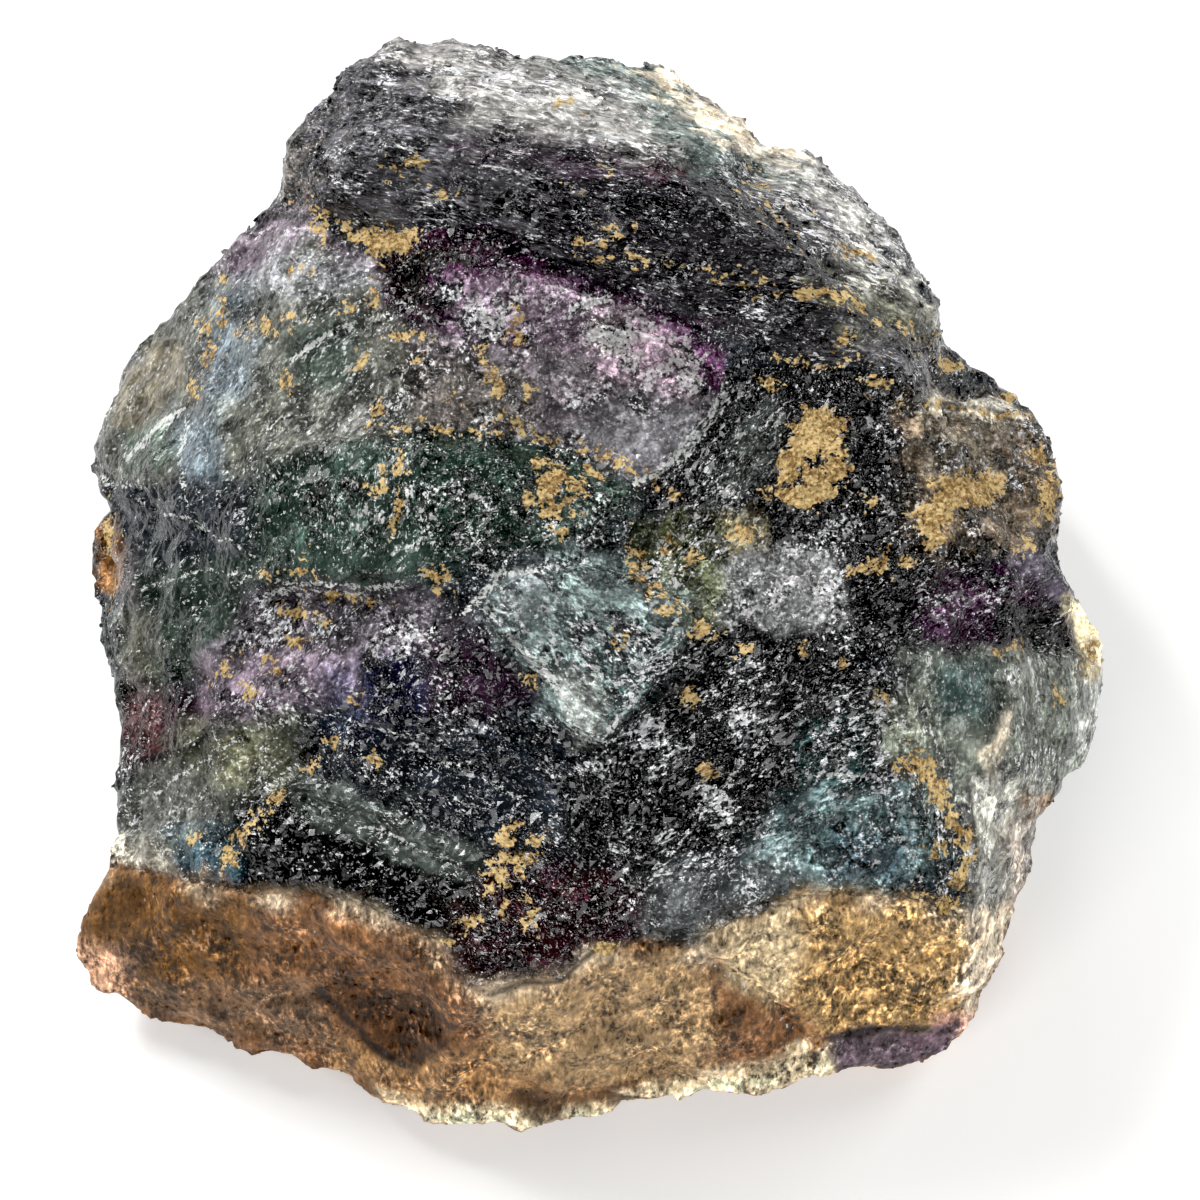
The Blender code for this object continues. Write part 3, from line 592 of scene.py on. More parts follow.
    ("paleCream", [(710, 932), (800, 900), (808, 990), (770, 1006), (730, 985)], 9, 0.85),
    ("ochreGrain", grainyCrust, 13, 0.95),
    # painted light: a glow along the crust's lower rim, and in cream along its right edge
    ("glow", [(377, 1090), (430, 1108), (540, 1112), (620, 1100), (700, 1078), (833, 1052), (836, 1080),
              (700, 1100), (560, 1140), (430, 1130)], 8, 1.0),
    ("cream", [(968, 912), (1024, 905), (1004, 1000), (966, 1044), (958, 1000)], 8, 0.85),
    ("rosePink", [(934, 1014), (970, 1014), (972, 1040), (934, 1040)], 6, 0.8),
    ("keelGrey", [(828, 1036), (880, 1028), (957, 1022), (962, 1062), (900, 1075), (832, 1076)], 6, 0.9),
    ("keelViolet", [(906, 1032), (958, 1028), (958, 1056), (908, 1057)], 6, 0.4),
    ("crustBrown", [(510, 1092), (560, 1090), (565, 1124), (515, 1124)], 5, 0.8),
    ("crustBrown", [(598, 1084), (628, 1082), (630, 1103), (602, 1104)], 5, 0.7),
]

# Walls that the photograph does not show are banded: colours in turn, along this axis.
wallBands = {
    "axis": (0.34, -0.22, 0.91),
    "spacing": 5.2,
    "waver": 0.9,
    "colours": ["blackGreen", "slate", "plum", "charcoal", "seaGrey", "coal", "benchGreen", "lilacGrey",
                "charcoal", "darkTeal", "violetBlack", "flankGrey"],
    "share": 0.62,
}

# Ochre stains: leaning ovals as x, y, half width, half height, lean.
ochreBlots = [
    (413, 162, 10, 5, 20), (396, 178, 14, 5, 45), (414, 192, 7, 5, 0), (455, 194, 5, 4, 0),
    (597, 178, 4, 9, 15), (607, 230, 11, 4, 0), (607, 248, 9, 4, 10), (627, 260, 10, 4, -20),
    (572, 103, 6, 5, 0), (775, 205, 4, 20, -30), (695, 267, 12, 2, 5), (733, 273, 5, 4, 0),
    (757, 278, 5, 4, 0), (743, 292, 7, 4, 0), (822, 292, 13, 9, 20), (848, 300, 11, 8, 0),
    (837, 343, 7, 4, 0), (850, 350, 6, 4, 0), (870, 344, 7, 5, 0), (893, 325, 8, 5, 0),
    (930, 343, 7, 5, 0), (873, 382, 9, 4, 0), (808, 360, 15, 3, 10), (850, 252, 8, 5, 0),
    (320, 222, 8, 14, -15), (220, 313, 4, 12, 0), (204, 325, 3, 5, 0), (209, 353, 4, 8, 0),
    (268, 325, 8, 4, 10), (290, 320, 7, 4, 0), (243, 332, 5, 3, 0), (347, 309, 7, 5, 0),
    (373, 297, 5, 9, 0), (293, 268, 8, 3, 0), (223, 278, 4, 4, 0), (195, 387, 3, 6, 0),
    (290, 383, 6, 8, 0), (363, 357, 5, 7, 0), (360, 367, 5, 5, 0), (405, 335, 10, 4, 0),
    (417, 357, 5, 4, 0), (382, 413, 5, 9, 0), (367, 415, 4, 5, 0), (453, 397, 5, 4, 0),
    (517, 337, 5, 14, 0), (497, 388, 6, 8, 0), (490, 370, 5, 12, -20), (528, 393, 4, 6, 0),
    (480, 352, 4, 5, 0), (440, 429, 26, 3, 4), (517, 426, 14, 4, 35), (580, 450, 22, 3, 20),
    (640, 474, 26, 3, 30), (302, 563, 5, 10, 0), (270, 573, 7, 5, 0), (305, 570, 8, 4, 0),
    (382, 472, 4, 8, 0), (377, 488, 6, 6, 0), (400, 467, 3, 9, 0), (396, 500, 2, 18, 0),
    (540, 462, 9, 7, 0), (527, 500, 7, 8, 0), (553, 480, 13, 10, 0), (573, 490, 10, 8, 0),
    (590, 473, 8, 6, 0), (550, 510, 11, 9, 0), (557, 530, 8, 5, 0), (565, 505, 12, 7, 30),
    (545, 495, 15, 8, -40), (293, 612, 13, 6, 10), (227, 668, 10, 4, -35), (267, 663, 6, 5, 0),
    (278, 673, 5, 5, 0), (320, 620, 7, 4, 0), (367, 602, 6, 5, 0), (340, 597, 9, 3, 0),
    (433, 577, 9, 6, 0), (447, 592, 6, 5, 0), (250, 690, 5, 6, 0), (533, 678, 6, 5, 0),
    (703, 630, 11, 8, 0), (741, 534, 15, 9, 10), (638, 566, 6, 20, -20), (655, 588, 14, 5, 20),
    (690, 560, 6, 6, 0), (665, 545, 7, 5, 0), (672, 606, 9, 5, 0), (860, 570, 8, 5, 0),
    (885, 568, 6, 6, 0), (807, 650, 4, 4, 0), (843, 665, 4, 4, 0), (880, 702, 6, 5, 0),
    (1000, 647, 4, 4, 0), (1018, 647, 4, 4, 0), (1057, 695, 4, 5, 0), (1090, 655, 7, 14, 10),
    (1048, 497, 9, 24, 5), (1040, 457, 10, 9, 0), (1022, 548, 8, 5, 0), (946, 406, 22, 3, 8),
    (1004, 414, 16, 3, 4), (950, 362, 13, 6, 10), (1012, 396, 8, 7, 30), (922, 768, 10, 16, -40),
    (940, 793, 10, 16, -25), (955, 825, 8, 20, -20), (968, 852, 5, 14, 0), (920, 897, 8, 7, 0),
    (900, 770, 7, 7, 0), (937, 850, 8, 6, 0), (960, 880, 7, 12, 0), (945, 905, 10, 8, 0),
    (228, 857, 7, 10, 20), (241, 832, 6, 14, 35), (258, 818, 10, 5, -45), (275, 800, 9, 4, -50),
    (190, 838, 5, 4, 0), (505, 838, 6, 12, 30), (498, 862, 5, 16, 15), (502, 895, 4, 16, 5),
    (488, 880, 5, 12, 0), (537, 847, 6, 12, 0), (527, 917, 5, 12, 0), (473, 920, 9, 9, 30),
    (450, 937, 12, 6, -30), (520, 870, 5, 9, 0), (605, 946, 9, 9, 0), (110, 530, 5, 12, 0),
    (690, 695, 7, 6, 0), (706, 775, 8, 6, 0), (745, 650, 6, 4, 0), (620, 640, 5, 4, 0),
    (870, 500, 6, 6, 0), (880, 560, 7, 9, 20), (770, 385, 7, 4, 0), (905, 560, 6, 8, 0),
    (355, 700, 5, 4, 0), (330, 742, 6, 4, 0), (310, 770, 5, 5, 0), (372, 758, 5, 4, 0),
    (295, 640, 6, 4, 0),
]
# Ochre patches with a shape of their own.
ochrePatches = [
    [(342, 227), (353, 225), (380, 228), (413, 230), (423, 238), (408, 250), (388, 256), (387, 270),
     (378, 262), (370, 253), (357, 240)],
    [(805, 405), (827, 410), (853, 424), (843, 434), (842, 450), (844, 466), (854, 472), (840, 483),
     (837, 497), (823, 500), (815, 508), (793, 507), (777, 491), (766, 492), (780, 480), (777, 466),
     (781, 452), (791, 438), (789, 428), (800, 421)],
    [(930, 480), (950, 471), (974, 478), (986, 471), (1004, 480), (1000, 495), (984, 505), (960, 508),
     (948, 520), (946, 535), (938, 553), (925, 548), (917, 530), (913, 512), (931, 505)],
]
# Gaps in the ochre, leaning ovals like the stains.
ochreGaps = [(816, 463, 9, 5, -20), (798, 484, 5, 3, 10)]

# Pale healed cracks, and painted highlights on the purple crystal's lower right rim and on the dark slab:
# line in the view, half width in tenths of a millimetre.
veinAndHighlightLines = [
    ([(507, 567), (485, 590), (463, 613)], 3), ([(497, 573), (520, 572), (543, 570)], 3),
    ([(547, 570), (545, 610), (553, 650), (567, 683)], 2),
    ([(480, 604), (530, 660), (560, 690), (580, 740)], 3), ([(690, 602), (650, 660), (604, 738)], 2.5),
    ([(520, 600), (560, 640), (610, 650)], 1.5), ([(293, 357), (330, 333), (357, 320)], 2.5),
    ([(127, 460), (155, 432), (187, 408)], 3),
    ([(632, 483), (660, 473), (677, 455), (695, 428), (713, 407), (723, 382)], 3),
    ([(260, 600), (300, 584), (360, 585), (410, 590)], 2), ([(393, 427), (400, 470), (407, 517)], 2),
    ([(803, 771), (830, 774), (857, 776)], 3), ([(96, 460), (104, 484), (150, 486)], 2),
    ([(190, 420), (180, 452), (184, 486)], 2), ([(703, 957), (740, 984), (773, 1010), (800, 1040)], 1.5),
    ([(477, 163), (520, 172), (560, 187)], 1.5), ([(660, 490), (690, 450), (722, 405), (728, 380)], 2),
    ([(395, 300), (440, 320), (500, 342)], 1.5), ([(300, 797), (380, 832), (470, 867)], 1.5),
    ([(640, 560), (700, 570), (730, 548)], 1.5), ([(640, 895), (690, 830), (740, 770), (760, 700)], 1.5),
    ([(620, 900), (660, 870), (700, 884)], 1.5), ([(930, 652), (925, 720), (960, 800), (975, 880)], 2),
    ([(1030, 660), (1040, 720), (1024, 790)], 1.5), ([(230, 590), (250, 575), (330, 590)], 1.5),
    ([(140, 500), (190, 520), (262, 560)], 1.5), ([(140, 590), (200, 570), (256, 576)], 1.5),
    ([(150, 800), (190, 770), (250, 730), (320, 716)], 2), ([(425, 340), (430, 380), (420, 432)], 1.5),
    ([(360, 300), (345, 350), (355, 400), (340, 440)], 1.2), ([(410, 440), (450, 470), (470, 540)], 1.2),
    ([(300, 480), (330, 520), (420, 545)], 1.2), ([(263, 594), (347, 594), (406, 581), (445, 574)], 1.5),
    ([(484, 565), (523, 623), (555, 682), (575, 734)], 2),
    ([(403, 363), (406, 435), (412, 500), (438, 552), (477, 565)], 1.5),
    ([(542, 578), (588, 656), (614, 720)], 1.5), ([(315, 711), (393, 730), (438, 760), (523, 799)], 1.5),
    ([(614, 688), (666, 656), (698, 623)], 1.5),
]

# How densely pale flecks and painted glints lie: corners in the view, softness, density.
fleckAndGlintPatches = [
    (slabPatch, 10, 0.50),
    ([(480, 190), (640, 165), (760, 190), (820, 260), (845, 330), (660, 295), (470, 215)], 20, 0.36),
    ([(330, 60), (420, 60), (470, 130), (440, 200), (320, 200)], 20, 0.58),
    (frostAndGlareCrest, 10, 1.05),
    (greenRim, 12, 0.55),
    ([(760, 150), (850, 195), (935, 285), (940, 330), (880, 330), (800, 240), (740, 200)], 14, 0.80),
    ([(380, 262), (640, 290), (640, 370), (560, 362), (430, 345)], 10, 0.36),
    ([(450, 280), (640, 303), (650, 345), (470, 342)], 10, 1.25),
    ([(420, 350), (700, 400), (640, 480), (430, 425)], 10, 0.55),
    ([(180, 280), (330, 270), (425, 340), (420, 430), (200, 480), (110, 470)], 14, 0.26),
    (flankEdge, 12, 0.55),
    ([(100, 480), (260, 480), (260, 640), (140, 690)], 12, 0.10),
    ([(260, 450), (420, 430), (430, 560), (260, 560)], 12, 0.30),
    ([(410, 430), (640, 470), (600, 560), (430, 560)], 12, 0.55),
    (glassyShelf, 8, 0.16),
    ([(660, 380), (900, 370), (1050, 430), (1050, 540), (900, 620), (660, 640)], 14, 0.50),
    ([(640, 520), (720, 520), (730, 620), (650, 640)], 12, 0.75),
    (greyKnot, 12, 0.90),
    (greenWedge, 8, 0.66),
    ([(240, 598), (440, 596), (450, 700), (205, 708)], 10, 0.62),
    (wetGround, 14, 0.72),
    (rightFold, 14, 0.66),
    ([(930, 650), (1100, 660), (1090, 760), (1000, 800), (930, 790)], 12, 0.46),
    ([(300, 720), (560, 700), (560, 860), (300, 800)], 12, 0.44),
    (darkBand, 10, 0.08),
    (plumFoot, 10, 0.30),
    ([(130, 720), (300, 720), (230, 870), (120, 840)], 12, 0.44),
    ([(640, 880), (830, 870), (830, 930), (700, 950), (620, 940)], 12, 0.58),
]

# Where pale clumps cling to the ground: corners in the view, softness, amount.
clumpPatches = [
    (frostAndGlareCrest, 12, 0.72),
    (greenRim, 12, 0.62),
    ([(760, 150), (850, 195), (935, 285), (940, 330), (880, 300), (800, 215)], 12, 0.85),
    ([(455, 280), (520, 276), (636, 304), (660, 340), (636, 362), (560, 350), (465, 338)], 10, 0.86),
    ([(590, 294), (650, 306), (702, 345), (702, 394), (640, 388), (592, 350)], 6, 1.05),
    (greyKnot, 12, 0.80),
    ([(640, 520), (720, 520), (724, 600), (650, 620)], 10, 0.60),
    (greenWedge, 8, 0.48),
    (rightFold, 14, 0.56),
    ([(240, 598), (440, 596), (470, 640), (420, 700), (205, 708)], 10, 0.50),
    ([(930, 420), (1050, 430), (1050, 540), (930, 540)], 12, 0.55),
    ([(660, 380), (900, 370), (920, 560), (660, 640)], 14, 0.42),
    (wetGround, 14, 0.26),
    ([(260, 450), (640, 470), (600, 560), (300, 560)], 12, 0.40),
    ([(180, 280), (425, 300), (425, 430), (200, 480)], 14, 0.26),
    ([(400, 60), (560, 160), (900, 300), (700, 330), (400, 200)], 14, 0.34),
    (sideWall, 9, 0.6),
]

# Where the surface is wet looking and glassy: corners in the view, softness, amount.
wetPatches = [
    ([(430, 640), (700, 620), (890, 690), (870, 800), (760, 890), (600, 900), (430, 860), (300, 800),
      (330, 690)], 24, 1.0),
    ([(720, 330), (940, 350), (1040, 420), (1040, 600), (880, 660), (700, 620), (660, 480)], 20, 0.55),
    ([(390, 260), (720, 350), (700, 440), (640, 480), (430, 420)], 14, 0.6),
    ([(280, 230), (480, 180), (760, 190), (860, 330), (640, 290)], 16, 0.5),
    ([(480, 600), (690, 600), (580, 745)], 10, 0.5),
    ([(236, 802), (480, 855), (640, 880), (590, 960), (490, 990), (240, 892)], 14, 0.7),
    ([(110, 380), (300, 300), (430, 400), (420, 590), (130, 600)], 20, 0.35),
    ([(900, 650), (1100, 660), (1080, 800), (930, 880)], 16, 0.4),
]

# How rugged and contrasty the grain is: corners in the view, softness, amount.
ruggedPatches = [
    (slabPatch, 10, 0.74),
    (frostAndGlareCrest, 10, 0.55),
    (greenRim, 12, 0.5),
    ([(760, 150), (850, 195), (935, 285), (940, 330), (880, 330), (800, 240)], 14, 0.62),
    ([(180, 280), (310, 215), (380, 285), (425, 340), (430, 430), (330, 460), (200, 480), (94, 480),
      (118, 380)], 10, 0.32),
    (flankEdge, 12, 0.5),
    ([(96, 485), (262, 480), (262, 600), (235, 665), (140, 700)], 10, 0.08),
    ([(250, 470), (330, 442), (420, 430), (520, 435), (640, 492), (600, 545), (470, 562),
      (300, 585)], 10, 0.48),
    ([(412, 436), (640, 480), (600, 560), (420, 560)], 12, 0.66),
    (glassyShelf, 8, 0.22),
    ([(383, 264), (440, 226), (600, 286), (722, 360), (702, 396), (560, 362), (430, 345)], 8, 0.78),
    ([(455, 280), (640, 300), (655, 350), (470, 345)], 9, 1.05),
    ([(400, 345), (520, 350), (640, 362), (716, 400), (706, 432), (642, 482), (560, 442),
      (420, 424)], 8, 0.66),
    ([(655, 486), (728, 375), (920, 372), (1052, 440), (1060, 560), (905, 660), (700, 640)], 9, 0.95),
    ([(720, 560), (842, 555), (846, 625), (720, 620)], 12, 0.7),
    ([(912, 588), (1010, 566), (1072, 650), (925, 640)], 9, 0.6),
    ([(900, 650), (1000, 648), (1106, 690), (1076, 800), (900, 800)], 10, 0.52),
    (wetGround, 10, 1.0),
    (greenWedge, 8, 0.90),
    ([(240, 598), (440, 596), (470, 640), (440, 700), (205, 708)], 10, 0.75),
    ([(180, 716), (296, 716), (300, 786), (190, 870), (120, 840), (130, 760)], 11, 0.34),
    (darkBand, 10, 0.12),
    (plumFoot, 10, 0.62),
    ([(790, 800), (925, 795), (945, 860), (905, 908), (800, 900)], 12, 0.88),
    ([(620, 900), (760, 850), (830, 885), (704, 955), (600, 948)], 12, 0.42),
    (sideWall, 9, 0.5),
]

# Smooth spots without flecks or rough grain.
smoothPatches = [
    creamKnob,
    creamRim,
    violetLedge,
    [(1003, 710), (1012, 712), (1007, 738), (996, 750), (1006, 797), (989, 780), (983, 748)],
    glassyShelf,
    [(116, 424), (122, 375), (150, 343), (190, 350), (176, 400), (140, 432)],
    [(940, 662), (990, 664), (992, 770), (944, 760)],
    [(500, 596), (545, 580), (552, 640), (530, 650)],
    [(590, 425), (660, 415), (690, 440), (645, 478), (600, 462)],
]

# Where the grain runs one way: direction in degrees, how much longer and thinner it is, corners.
flowZones = {
    "slabFlow": (-13, (2.0, 0.66, 0.66), [slabPatch]),
    "riseFlow": (24, (1.45, 0.85, 0.85), [
        [(640, 652), (700, 622), (800, 648), (890, 676), (900, 700), (880, 800), (800, 830), (700, 880),
         (640, 890), (600, 800), (640, 720)],
        [(840, 560), (1060, 560), (1070, 640), (860, 650)]]),
    "steepFlow": (52, (1.35, 0.85, 0.85), [
        [(655, 486), (728, 375), (800, 362), (796, 500), (720, 560), (660, 560)],
        [(96, 484), (118, 380), (200, 275), (330, 300), (430, 430), (250, 480)],
        [(200, 700), (240, 600), (380, 600), (360, 700)]]),
    "fallFlow": (-32, (1.4, 0.85, 0.85), [
        [(300, 700), (560, 690), (590, 760), (640, 880), (560, 960), (452, 972), (300, 900), (236, 860)],
        [(470, 600), (560, 560), (694, 600), (580, 748)]]),
    "uprightFlow": (90, (1.4, 0.85, 0.85), [
        [(900, 650), (1106, 660), (1080, 800), (1000, 930), (940, 900)],
        [(260, 460), (420, 430), (430, 590), (270, 590)]]),
}

# Painted shade along gaps and creases: line in the view, half width in tenths of a millimetre.
shadeLines = [
    ([(733, 374), (732, 398), (714, 441), (677, 482), (652, 496)], 8),
    ([(380, 270), (402, 238), (440, 224)], 2.5),
    ([(440, 224), (520, 248), (600, 282), (690, 326), (722, 352)], 2),
    ([(686, 345), (690, 372), (702, 392)], 1.5), ([(477, 140), (540, 148), (600, 156), (640, 156)], 3),
    ([(273, 214), (300, 220), (323, 216), (343, 226)], 4), ([(323, 216), (334, 228), (345, 224)], 5),
    ([(414, 430), (460, 432), (520, 440), (560, 452)], 1.5),
    ([(640, 486), (655, 520), (640, 556), (655, 590)], 2), ([(917, 404), (960, 404), (1030, 416)], 2),
    ([(945, 352), (975, 370), (1005, 384), (1024, 408)], 3), ([(1006, 563), (1036, 592), (1068, 612)], 2),
    ([(1068, 600), (1072, 650), (1078, 676)], 2), ([(104, 486), (110, 512), (100, 524)], 3),
    ([(127, 560), (122, 600), (130, 640)], 2), ([(124, 770), (170, 752), (232, 728)], 2),
    ([(236, 800), (300, 798), (380, 834), (470, 870)], 2),
    ([(300, 718), (420, 700), (500, 712), (560, 760)], 1.5), ([(604, 742), (640, 700), (686, 650)], 1.5),
    ([(572, 750), (540, 694), (500, 646)], 1.5), ([(452, 970), (490, 994), (560, 978), (596, 950)], 1.5),
    ([(560, 860), (620, 872), (650, 850)], 3), ([(590, 790), (620, 830), (634, 870)], 4),
    ([(320, 992), (352, 1026), (384, 1056), (416, 1072)], 3),
    ([(700, 956), (740, 985), (773, 1010), (800, 1042)], 1), ([(830, 1040), (880, 1030), (930, 1026)], 2),
    ([(970, 776), (975, 850), (972, 930)], 1.5),
]

# How the colours are laid on the stone.
colouring = {
    "edgeWaver": ((6.5, 5), (2.6, 4), (1.4, 3)),  # size in mm, steps that the edges of patches waver
    "stray": ((4.0, 26), (1.8, 12)),  # the same for colours that stray into their neighbours
    "slabStreak": 52,  # steps that colours are drawn out along the slab's ribs
    "softer": 1.3,  # soft edges are this much softer than they are written
    "rim": 0.75,  # strength of the crust's pale rim
    "brightness": 1.13,
    "shine": 0.026,  # the light that the glossy skin adds
    "lift": 0.010,
    "darkest": 0.0025,
}


def linear(colour):
    c = np.array(colour, float) / 255
    return np.where(c <= 0.04045, c / 12.92, ((c + 0.055) / 1.055) ** 2.4)


def setFloat(mesh, name, values):
    layer = mesh.attributes.new(name, "FLOAT", "POINT")
    layer.data.foreach_set("value", np.asarray(values, np.float32))


def waver(points, layers, salt):
    # steps right and down that a place wanders
    sides = [[high * softNoise(points, size, salt + 10 * n + k) for n, (size, high) in enumerate(layers)]
             for k in (0, 1)]
    return np.stack([sum(side) for side in sides], axis=1)


def paintStone(piece):
    mesh = piece.data
    points, normals = readPoints(mesh), readNormals(mesh)
    place = viewPlace(points)
    facing = ramp((facingEye(points, normals) + 0.02) / 0.25)
    shift = waver(points, colouring["edgeWaver"], 201)
    stray = waver(points, colouring["stray"], 231)
    ribPlace = ribCoordinates(points)
    ribs = softNoise(ribPlace, (9.0, 1.2, 1.2), 261) + 0.6 * softNoise(ribPlace, (5.0, 0.8, 0.8), 262)
    drawn = colouring["slabStreak"] * facing * ramp(0.5 + patchDepth(place, slabPatch) / 20) * ribs
    shift += drawn[:, None] * (0.97, 0.22)
    warped = place + shift

    # each patch is laid with a ragged edge, and strays into its neighbours here and there
    tint, loose = (np.tile(linear(palette["slate"]), (len(points), 1)) for _ in range(2))
    for name, corners, soft, strength in tintPatches:
        soft = soft if soft < 7 else colouring["softer"] * soft
        for colours, spots in ((tint, warped), (loose, warped + stray)):
            share = strength * ramp(0.5 + patchDepth(spots, corners) / (2 * soft))
            colours += (linear(palette[name]) - colours) * share[:, None]
    strayed = 0.6 * ramp((softNoise(points, 3.0, 251) - 0.05) / 0.3)
    crustInside = patchDepth(place, crustOutline)
    strayed *= np.maximum(ramp(0.6 - crustInside / 30), ramp((crustInside - 15) / 20))
    tint += (loose - tint) * strayed[:, None]

    # hidden walls carry on the colours above them, broken by bands
    axis = np.array(wallBands["axis"]) / np.linalg.norm(wallBands["axis"])
    along = points @ axis / wallBands["spacing"] + wallBands["waver"] * softNoise(points, 16.0, 301)
    along = along + 0.35 * softNoise(points, 4.0, 302) + 40
    order = np.array([linear(palette[name]) for name in wallBands["colours"]])
    step = np.floor(along).astype(int)
    blend = ramp((along - step - 0.72) / 0.28)[:, None]
    bands = order[step % len(order)] * (1 - blend) + order[(step + 1) % len(order)] * blend
    share = wallBands["share"] * ramp(0.5 + 1.2 * softNoise(points, 9.0, 303) + 0.3)[:, None]
    walls = tint * (1 - share) + bands * share
    crustWall = np.minimum(-27.0 - points[:, 1], 19.0 - points[:, 2])
    crustWall = crustWall + 2.6 * softNoise(points, 7.0, 305) + 1.0 * softNoise(points, 2.2, 306)
    tan = linear(palette["crustPink"]) * (1 + 0.45 * softNoise(points, 6.0, 307))[:, None]
    tan = tan + (linear(palette["ochreTan"]) - tan) * ramp(0.5 + softNoise(points, 11.0, 308))[:, None]
    walls += (tan - walls) * ramp(0.5 + crustWall / 1.6)[:, None]
    tint = walls * (1 - facing[:, None]) + tint * facing[:, None]
    tint *= (1 + 0.16 * softNoise(points, 2.4, 310) + 0.10 * softNoise(points, 1.3, 311))[:, None]

    crustSeen = patchDepth(warped, crustOutline) / 10
    crust = np.clip(crustWall * (1 - facing) + crustSeen * facing, -6, 6)
    rim = colouring["rim"] * ramp(1 - np.abs(crustSeen - 0.5) / 2.0) * facing
    rim = rim * ramp(0.55 + 1.4 * softNoise(points, 6.0, 312))
    tint += (linear(palette["crustRim"]) - tint) * rim[:, None]

    # stains are kept as depths in millimetres, so that their edges stay sharp between the points
    ochre = np.full(len(points), -6.0)
    stained = place + 0.7 * shift
    for blot in ochreBlots:
        ochre = np.maximum(ochre, blotDepth(stained, blot) / 10)
    for corners in ochrePatches:
        ochre = np.maximum(ochre, patchDepth(stained, corners) / 10)
    for blot in ochreGaps:
        ochre = np.minimum(ochre, -blotDepth(stained, blot) / 10)
    wallOchre = (softNoise(points, 7.0, 320) - 0.62) * 3 + 0.5 * softNoise(points, 1.8, 321)
    ochre = ochre * facing + np.minimum(wallOchre, 1.0) * (1 - facing) - 3 * facing * (1 - facing)

    veinAndHighlight = nearestLine(place + 0.6 * shift, veinAndHighlightLines) * facing + 6 * (1 - facing)

    fleck = blendPatches(warped, fleckAndGlintPatches, 3.4, 0.40)
    fleck = fleck * facing + 0.42 * (1 - facing)
    cluster = ramp(0.5 + 1.25 * softNoise(points, 4.6, 330) + 0.9 * softNoise(points, 1.9, 331))
    fleck = fleck * (0.16 + 1.32 * cluster)

    rugged = blendPatches(warped, ruggedPatches, 3, 0.5)
    crustRugged = 0.50 + 0.28 * softNoise(points, 9.0, 341)
    for corners, amount in ((grainyCrust, 0.95), (brownCrust, 1.0)):
        crustRugged = np.maximum(crustRugged, amount * ramp(0.5 + patchDepth(warped, corners) / 30))
    rugged += (crustRugged - rugged) * ramp(0.5 + crust)
    rugged = rugged * facing + (0.5 - 0.3 * ramp(crust)) * (1 - facing)
    rugged = rugged * (0.42 + 0.92 * cluster)
    smooth = np.max([ramp(0.5 + patchDepth(warped, corners) / 16) for corners in smoothPatches],
                    axis=0) * facing
    rugged = rugged * (1 - 0.8 * smooth)
    fleck = fleck * (1 - 0.85 * smooth)

    # painted shade: how far each point lies from the lines of shaded gaps and creases
    gap = nearestLine(place + 0.6 * shift, shadeLines) * facing + 6 * (1 - facing)

    cloud = 0.5 + 0.17 * softNoise(points, 2.8, 350) + 0.12 * softNoise(points, 1.5, 351)
    setFloat(mesh, "cloud", cloud)

    clump = strongestPatch(warped, clumpPatches, 3.4, 0.14)
    clump *= 0.55 + 0.6 * cluster
    clump = (clump * facing + 0.34 * (1 - facing)) * (1 - ramp(0.5 + crust))
    setFloat(mesh, "clump", clump)

    wet = strongestPatch(warped, wetPatches, 2, 0.25)
    wet = (wet * facing + 0.35 * (1 - facing)) * ramp(-crust / 0.8)
    underside = ramp((-normals[:, 2] - 0.6) / 0.3)
    wet *= 1 - underside

    for name, (_, _, outlines) in flowZones.items():
        inside = np.max([patchDepth(warped, corners) for corners in outlines], axis=0)
        setFloat(mesh, name, facing * ramp(0.5 + inside / 20))

    setFloat(mesh, "ochreDepth", ochre)
    setFloat(mesh, "veinGap", veinAndHighlight)
    setFloat(mesh, "crustDepth", crust)
    setFloat(mesh, "fleck", np.clip(fleck, 0, 1.4))
    setFloat(mesh, "rugged", np.clip(rugged, 0.05, 1.1))
    setFloat(mesh, "darkGap", gap)
    setFloat(mesh, "wet", np.clip(wet, 0, 1))
    layer = mesh.color_attributes.new("tint", "FLOAT_COLOR", "POINT")
    rgba = np.ones((len(points), 4), np.float32)
    shine = colouring["shine"] * (1 - 0.4 * ramp(0.5 + crust / 2))
    rgba[:, :3] = np.clip(tint * colouring["brightness"] - shine[:, None] + colouring["lift"],
                          colouring["darkest"], 1)
    layer.data.foreach_set("color", rgba.ravel())
    return points, normals, ochre, crust, underside


painted = paintStone(stone)
print("stone coloured:", len(tintPatches), "patches,", len(ochreBlots), "ochre stains,", len(veinAndHighlightLines),
      "veinsAndHighlights")


# building materials
def feed(tree, socket, value):
    # links a socket, or sets a plain value
    if isinstance(value, bpy.types.NodeSocket):
        tree.links.new(value, socket)
    else:
        socket.default_value = value


def addNode(tree, kind, inputs=None, **settings):
    node = tree.nodes.new(kind)
    for key, value in settings.items():
        setattr(node, key, value)
    for key, value in (inputs or {}).items():
        feed(tree, node.inputs[key], value)
    return node


def mathNode(tree, operation, *values):
    return addNode(tree, "ShaderNodeMath", dict(enumerate(values)), operation=operation).outputs[0]


def times(tree, a, b):
    return mathNode(tree, "MULTIPLY", a, b)


def plus(tree, a, b):
    return mathNode(tree, "ADD", a, b)


def minus(tree, a, b):
    return mathNode(tree, "SUBTRACT", a, b)


def mapNode(tree, value, low, high, toLow=0.0, toHigh=1.0):
    limits = {"Value": value, "From Min": low, "From Max": high, "To Min": toLow, "To Max": toHigh}
    return addNode(tree, "ShaderNodeMapRange", limits, interpolation_type="SMOOTHSTEP").outputs["Result"]


